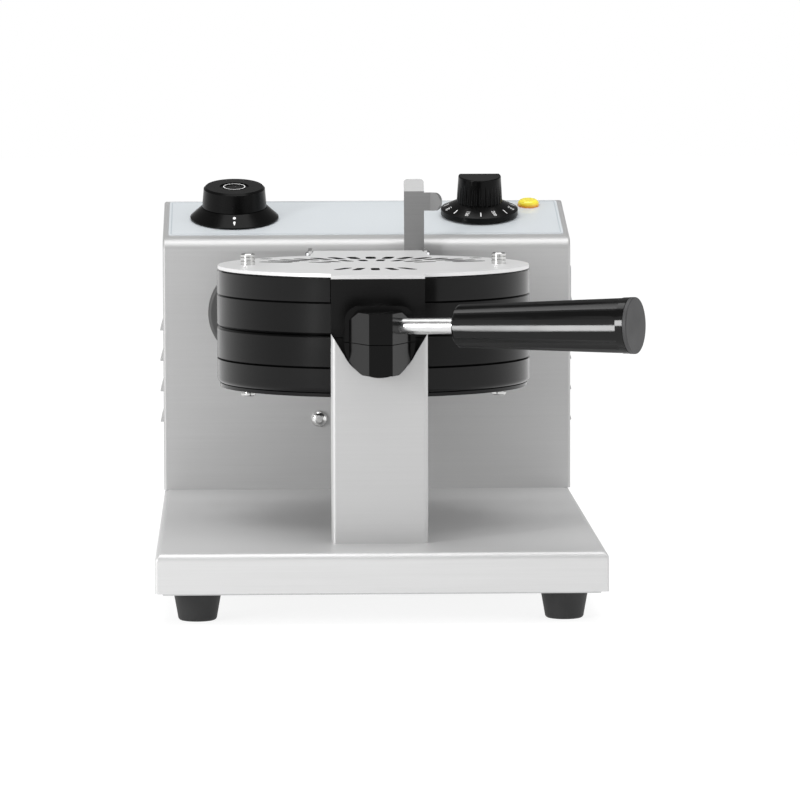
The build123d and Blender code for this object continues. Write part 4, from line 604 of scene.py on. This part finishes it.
# The facets inside the lens are about 1 mm wide.
amber, tree, surface, place = start_material(
    "polycarbonate_amber", Transmission_Weight=0.1, Coat_Weight=0.3, Coat_Roughness=0.05)
lamp_place = on_panel(103.3, 77)
lens_foot, lens_top = 0.0006, 0.0030
upward = lamp_place.to_3x3() @ Vector((0, 0, 1))
local = add_node(tree, "ShaderNodeVectorMath", {
    0: place["Object"], 1: lamp_place.translation}, operation="SUBTRACT")
rise = add_node(tree, "ShaderNodeVectorMath", {0: local, 1: upward}, operation="DOT_PRODUCT")
depth = add_node(tree, "ShaderNodeMapRange", {
    "Value": rise.outputs["Value"], "From Min": lens_foot, "From Max": lens_top})
facets = add_node(tree, "ShaderNodeTexVoronoi", {"Vector": place["Object"], "Scale": 900})
tone = add_node(tree, "ShaderNodeMix", {
    0: depth, 6: linear("#F28C00"), 7: linear("#FFEE46")}, data_type="RGBA")
rough = add_node(tree, "ShaderNodeMapRange", {"Value": facets, "To Min": 0.12, "To Max": 0.2})
bump = add_node(tree, "ShaderNodeBump", {"Height": facets, "Strength": 0.1, "Distance": 0.0002})
connect(tree, surface, {"Base Color": tone.outputs[2], "Roughness": rough, "Normal": bump})
give(amber, "lamp_lens")
give(control_case, "lamp_body")

# Switch
# A light grey rocker switch snapped into the right wall. Its polyamide bezel is finely eroded
# and its rocker is smoother, with a dull shine.
bezel_grey = moulded(
    "polyamide_moulded_light_grey", "#C4C6C7", "#BCBEBF", rough=(0.4, 0.52),
    grain_mm=0.7, relief=0.15)
give(bezel_grey, "switch_body")
rocker_grey = moulded(
    "polyamide_moulded_smooth_light_grey", "#CCCECF", "#C6C8C9", rough=(0.24, 0.34),
    grain_mm=0.6, relief=0.05)
give(rocker_grey, "switch_rocker")

# Rotor shaft, stop and yoke
# The shaft is ground steel tube with a pinned stop collar. The yoke is a cast bar in dull grey,
# bolted across the back of the lower mould by two socket screws.
ground = turned_metal("steel_ground", "#BDBEBF", "#A7A8AA", rough=(0.18, 0.28), grain_mm=0.4)
give(ground, "rotor_shaft", "stop_pin")
give(phosphated, "stop_collar")


def cast_iron(name, base, dark, rough, grain_mm, relief, metallic, specular):
    """Sand-cast iron under a thin finish: a pitted skin of grain_mm and darker baked patches
    some 40 mm wide."""
    material, tree, surface, place = start_material(
        name, Metallic=metallic, Specular_IOR_Level=specular)
    pits = add_node(tree, "ShaderNodeTexNoise", {
        "Vector": place["Object"], "Scale": 1000 / grain_mm, "Detail": 6, "Roughness": 0.6})
    baked = add_node(tree, "ShaderNodeTexNoise", {
        "Vector": place["Object"], "Scale": 26, "Detail": 4})
    tone = add_node(tree, "ShaderNodeMix", {
        0: baked, 6: linear(base), 7: linear(dark)}, data_type="RGBA")
    roughness = add_node(tree, "ShaderNodeMapRange", {
        "Value": baked, **noise_span, "To Min": rough[0], "To Max": rough[1]})
    bump = add_node(tree, "ShaderNodeBump", {
        "Height": pits, "Strength": relief, "Distance": 0.0003})
    connect(tree, surface, {
        "Base Color": tone.outputs[2], "Roughness": roughness, "Normal": bump})
    return material


yoke_grey = cast_iron(
    "iron_cast_greyed", "#5A5A5A", "#4C4C4C", rough=(0.42, 0.55),
    grain_mm=0.8, relief=0.3, metallic=0.3, specular=0.4)
give(yoke_grey, "yoke")
give(phosphated, "yoke_screws")

# Hinge bracket and pin
# A 2 mm stainless plate on the yoke's hub, with two ears for the hinge pin and a tall tongue
# that the opened lid rests on. Four pan-head screws hold it, and the pin's ends are riveted.
# Its stainless is coloured much darker than the other sheet, as painted shade and painted
# reflection of the dark parts around it.
bracket_steel_painted_shade = brushed_sheet(
    "stainless_steel_bracket_brushed", "#949494", "#888888", rough=(0.30, 0.38), relief=0.04)
give(bracket_steel_painted_shade, "hinge_bracket")
give(ground, "hinge_pin")
axis_up, bracket_back, bracket_screw_off = 153.2, 324, (-12, 12)
screws("bracket_screw_group", "rotor", "bracket_screws",
       [spot(x, bracket_back, axis_up + z) for x in bracket_screw_off for z in bracket_screw_off],
       face_back, head_r=3.6, head_h=2, shank_r=2, shank_len=12, recess=3.8)

# Mould halves
# Each half is a cast iron ring, its outside turned and baked black, with a flat block at the
# front for its half of the hub. A grid plate with tapered pins under a non-stick coat lies in it.
seasoned = cast_iron(
    "iron_cast_turned_baked", "#0B0B0B", "#060606", rough=(0.18, 0.26),
    grain_mm=0.5, relief=0.04, metallic=0.0, specular=0.17)
give(seasoned, "lower_mould", "upper_mould")
coated = cast_iron(
    "iron_cast_nonstick_coated", "#1B1B1B", "#131313", rough=(0.34, 0.46),
    grain_mm=0.7, relief=0.16, metallic=0.0, specular=0.4)
give(coated, "lower_grid", "upper_grid")

# Heaters and pads
# Each heater is a ring of steel-sheathed tube, dulled by heat. Each pad is mineral wool under a
# black glass fleece, and lies between heater and plate.
sheath = turned_metal(
    "steel_sheath_oxidised", "#4B4640", "#3A3733", rough=(0.4, 0.55), grain_mm=0.8, relief=0.2)
give(sheath, "lower_heater", "upper_heater")
# The fleece's fibres are drawn 1.4 mm thick so that they show.
fleece, tree, surface, place = start_material(
    "glass_fleece_black", Roughness=0.95, Specular_IOR_Level=0.2)
fibres = add_node(tree, "ShaderNodeTexNoise", {
    "Vector": place["Object"], "Scale": 700, "Detail": 6})
tone = add_node(tree, "ShaderNodeMix", {
    0: fibres, 6: linear("#121212"), 7: linear("#242423")}, data_type="RGBA")
bump = add_node(tree, "ShaderNodeBump", {"Height": fibres, "Strength": 0.8, "Distance": 0.0006})
connect(tree, surface, {"Base Color": tone.outputs[2], "Normal": bump})
give(fleece, "lower_pad", "upper_pad")

# Casings
# A spun steel ring around each heater, between the mould and its plate. It is stove-enamelled
# black, satin with a slight orange peel.
enamel = moulded(
    "steel_enamelled_black", "#0B0B0B", "#0F0F0F", rough=(0.13, 0.18),
    grain_mm=2.2, relief=0.02, specular=0.2)
give(enamel, "lower_casing", "upper_casing")

# Plates, studs and rim screws
# The lid's plate is 2 mm brushed stainless, painted lighter than the pan's as painted light on its
# top.
# Its slots' edges are dark partly from the laser and partly as painted shade inside the slots, and
# it runs back as a strap to the hinge. The lower one is enamelled. Turned studs hold the grid
# plates.
lid_steel_painted_light = brushed_sheet(
    "stainless_steel_lid_brushed", "#E8E8E8", "#DEDEDE", rough=(0.36, 0.44), metallic=0.5)

# Walls that stand upright within the slots' reach of the mould's middle are the cut edges, painted
# near black: partly the laser's dark edge, partly painted shade inside the slots.
mould_depth, slots_reach = 177, 0.072
tree = lid_steel_painted_light.node_tree
surface = tree.nodes["Principled BSDF"]
brushed = surface.inputs["Base Color"].links[0].from_socket
place = add_node(tree, "ShaderNodeTexCoord").outputs
facing = add_node(tree, "ShaderNodeSeparateXYZ", {0: place["Normal"]})
lying = add_node(tree, "ShaderNodeMath", {0: facing.outputs["Z"]}, operation="ABSOLUTE")
wall = add_node(tree, "ShaderNodeMath", {0: lying, 1: 0.5}, operation="LESS_THAN")
from_middle = add_node(tree, "ShaderNodeVectorMath", {
    0: place["Object"], 1: spot(0, mould_depth, 0)}, operation="SUBTRACT")
flat = add_node(tree, "ShaderNodeVectorMath", {0: from_middle, 1: (1, 1, 0)}, operation="MULTIPLY")
away = add_node(tree, "ShaderNodeVectorMath", {0: flat}, operation="LENGTH")
inner = add_node(tree, "ShaderNodeMath", {
    0: away.outputs["Value"], 1: slots_reach}, operation="LESS_THAN")
cut_edge_and_slot_shade = add_node(tree, "ShaderNodeMath", {0: wall, 1: inner}, operation="MULTIPLY")
tone = add_node(tree, "ShaderNodeMix", {
    0: cut_edge_and_slot_shade, 6: brushed, 7: linear("#1A1816")}, data_type="RGBA")
connect(tree, surface, {"Base Color": tone.outputs[2]})
give(lid_steel_painted_light, "lid_plate")
give(enamel, "lower_plate")
stud_steel = turned_metal(
    "stainless_steel_turned", "#D8D8D7", "#C2C2C1", rough=(0.14, 0.24), grain_mm=0.5)
give(stud_steel, "upper_studs", "lower_studs", "upper_rim_screws", "lower_rim_screws")

# Front hub
# A black phenolic block in two halves: a round journal, a collar and a faceted nose. A steel
# tie stud in each half holds it to its mould.
hub_black = moulded(
    "phenolic_moulded_black", "#070707", "#0A0A0A", rough=(0.16, 0.22),
    grain_mm=0.7, relief=0.04, specular=0.12)
give(hub_black, "lower_hub", "upper_hub")
give(zinc, "lower_tie", "upper_tie")

# Handle
# A ground stainless rod runs from the upper hub half into a long grip of glossy black
# phenolic with shallow flutes, closed by a matt grey cap.
rod_steel = turned_metal(
    "stainless_steel_ground", "#E0E0E0", "#D2D2D2", rough=(0.2, 0.28), grain_mm=2.0, relief=0.03)
give(rod_steel, "handle_rod")
grip_black = moulded(
    "phenolic_moulded_glossy_black", "#040404", "#060606", rough=(0.1, 0.15),
    grain_mm=1.5, relief=0.01, specular=0.28)
give(grip_black, "handle_grip")
cap_grey = moulded(
    "polypropylene_moulded_matt", "#333334", "#3D3D3E", rough=(0.5, 0.62), grain_mm=0.6, relief=0.2)
give(cap_grey, "grip_cap")

# Floor, light and camera
# A pale floor and a white background, an overhead soft box and two weak side boxes, a narrow box
# at the left front that the polished grip mirrors, and a long lens a little above the object.


def seen_directly(tree, ray):
    """One for a ray from the camera, a mirror or glass, zero if not, from Light Path's outputs."""
    seen = add_node(tree, "ShaderNodeMath", {
        0: ray["Is Camera Ray"], 1: ray["Is Glossy Ray"]}, operation="MAXIMUM")
    return add_node(tree, "ShaderNodeMath", {
        0: seen, 1: ray["Is Transmission Ray"]}, operation="MAXIMUM")


# The camera sees the paper mostly as a white glow, with enough of the paper for a faint shadow.
glow_strength, glow_share = 1.14, 0.74
floor_paper = bpy.data.materials.new("floor_paper_white")
floor_paper.use_nodes = True
tree = floor_paper.node_tree
tree.nodes.clear()
paper = add_node(tree, "ShaderNodeBsdfDiffuse", {"Color": linear("#F2F2F2")})
glow = add_node(tree, "ShaderNodeEmission", {"Color": (1, 1, 1, 1), "Strength": glow_strength})
seen = seen_directly(tree, add_node(tree, "ShaderNodeLightPath").outputs)
share = add_node(tree, "ShaderNodeMath", {0: seen, 1: glow_share}, operation="MULTIPLY")
mixed = add_node(tree, "ShaderNodeMixShader", {0: share, 1: paper, 2: glow})
add_node(tree, "ShaderNodeOutputMaterial", {0: mixed})
build = bmesh.new()
bmesh.ops.create_grid(build, x_segments=1, y_segments=1, size=6)
floor = piece_from("studio_floor", build, floor_paper)

# The world's level is one for diffuse light and another, brighter towards the sides and dimmer
# upwards, for what metal mirrors.
diffuse_level, mirrored_ahead, mirrored_aside, mirrored_above = 0.74, 0.8, 1.15, 0.3
world = bpy.data.worlds.new("studio")
bpy.context.scene.world = world
world.use_nodes = True
tree = world.node_tree
tree.nodes.clear()
ray = add_node(tree, "ShaderNodeLightPath").outputs
seen = seen_directly(tree, ray)
way = add_node(tree, "ShaderNodeTexCoord").outputs["Generated"]
way = add_node(tree, "ShaderNodeSeparateXYZ", {0: way}).outputs
aside = add_node(tree, "ShaderNodeMath", {0: way["X"]}, operation="ABSOLUTE")
walls = add_node(tree, "ShaderNodeMapRange", {
    "Value": aside, "From Min": 0.3, "From Max": 0.85,
    "To Min": mirrored_ahead, "To Max": mirrored_aside})
dimmer = add_node(tree, "ShaderNodeMapRange", {
    "Value": way["Z"], "From Min": 0.06, "From Max": 0.3, "To Min": 1.0, "To Max": mirrored_above})
mirrored = add_node(tree, "ShaderNodeMath", {0: walls, 1: dimmer}, operation="MULTIPLY")
glossy = add_node(tree, "ShaderNodeMix", {0: ray["Is Glossy Ray"], 2: 1.0, 3: mirrored})
level = add_node(tree, "ShaderNodeMix", {0: seen, 2: diffuse_level, 3: glossy})
sky = add_node(tree, "ShaderNodeBackground", {"Color": (1, 1, 1, 1), "Strength": level})
add_node(tree, "ShaderNodeOutputWorld", {0: sky})


def soft_box(name, place, aim, width, height, power):
    """A rectangular area lamp at a place, aimed at another."""
    lamp = bpy.data.lights.new(name, "AREA")
    lamp.shape = "RECTANGLE"
    lamp.size, lamp.size_y, lamp.energy = width, height, power
    box = bpy.data.objects.new(name, lamp)
    box.location = place
    box.rotation_euler = (Vector(aim) - Vector(place)).to_track_quat("-Z", "Y").to_euler()
    bpy.context.collection.objects.link(box)


soft_box("overhead_box", (0, -0.1, 1.9), (0, 0, 0.1), width=1.6, height=1.6, power=22)
soft_box("left_box", (-1.6, -1.2, 1.0), (0, 0, 0.12), width=0.9, height=1.2, power=2)
soft_box("right_box", (1.7, -0.9, 0.8), (0, 0, 0.12), width=0.8, height=1.2, power=3)
grip_low, grip_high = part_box("handle_grip")
grip_middle = (grip_low + grip_high) / 2
strip_place = grip_middle + 2.1 * Vector((-0.75, -0.625, 0.21))
soft_box("left_strip", strip_place, grip_middle, width=0.3, height=0.75, power=18)

# The camera's place and angles come from a fit to the object's straight edges and circles.
lens = bpy.data.cameras.new("photo_camera")
lens.lens, lens.sensor_width, lens.clip_start, lens.clip_end = 229.07, 36, 0.05, 50
camera = bpy.data.objects.new("photo_camera", lens)
camera_place = spot(-74.67, -2778.8, 372.7)
yaw, pitch, roll = 0.03043, 0.08902, 0.00285
ahead = Vector((math.sin(yaw) * math.cos(pitch), math.cos(yaw) * math.cos(pitch), -math.sin(pitch)))
right = Vector((math.cos(yaw), -math.sin(yaw), 0))
down = ahead.cross(right)
right, down = (math.cos(roll) * right + math.sin(roll) * down,
               math.cos(roll) * down - math.sin(roll) * right)
turn = Matrix((right, -down, -ahead)).transposed()
camera.matrix_world = Matrix.Translation(camera_place) @ turn.to_4x4()
bpy.context.collection.objects.link(camera)
bpy.context.scene.camera = camera
bpy.context.scene.view_settings.view_transform = "Standard"
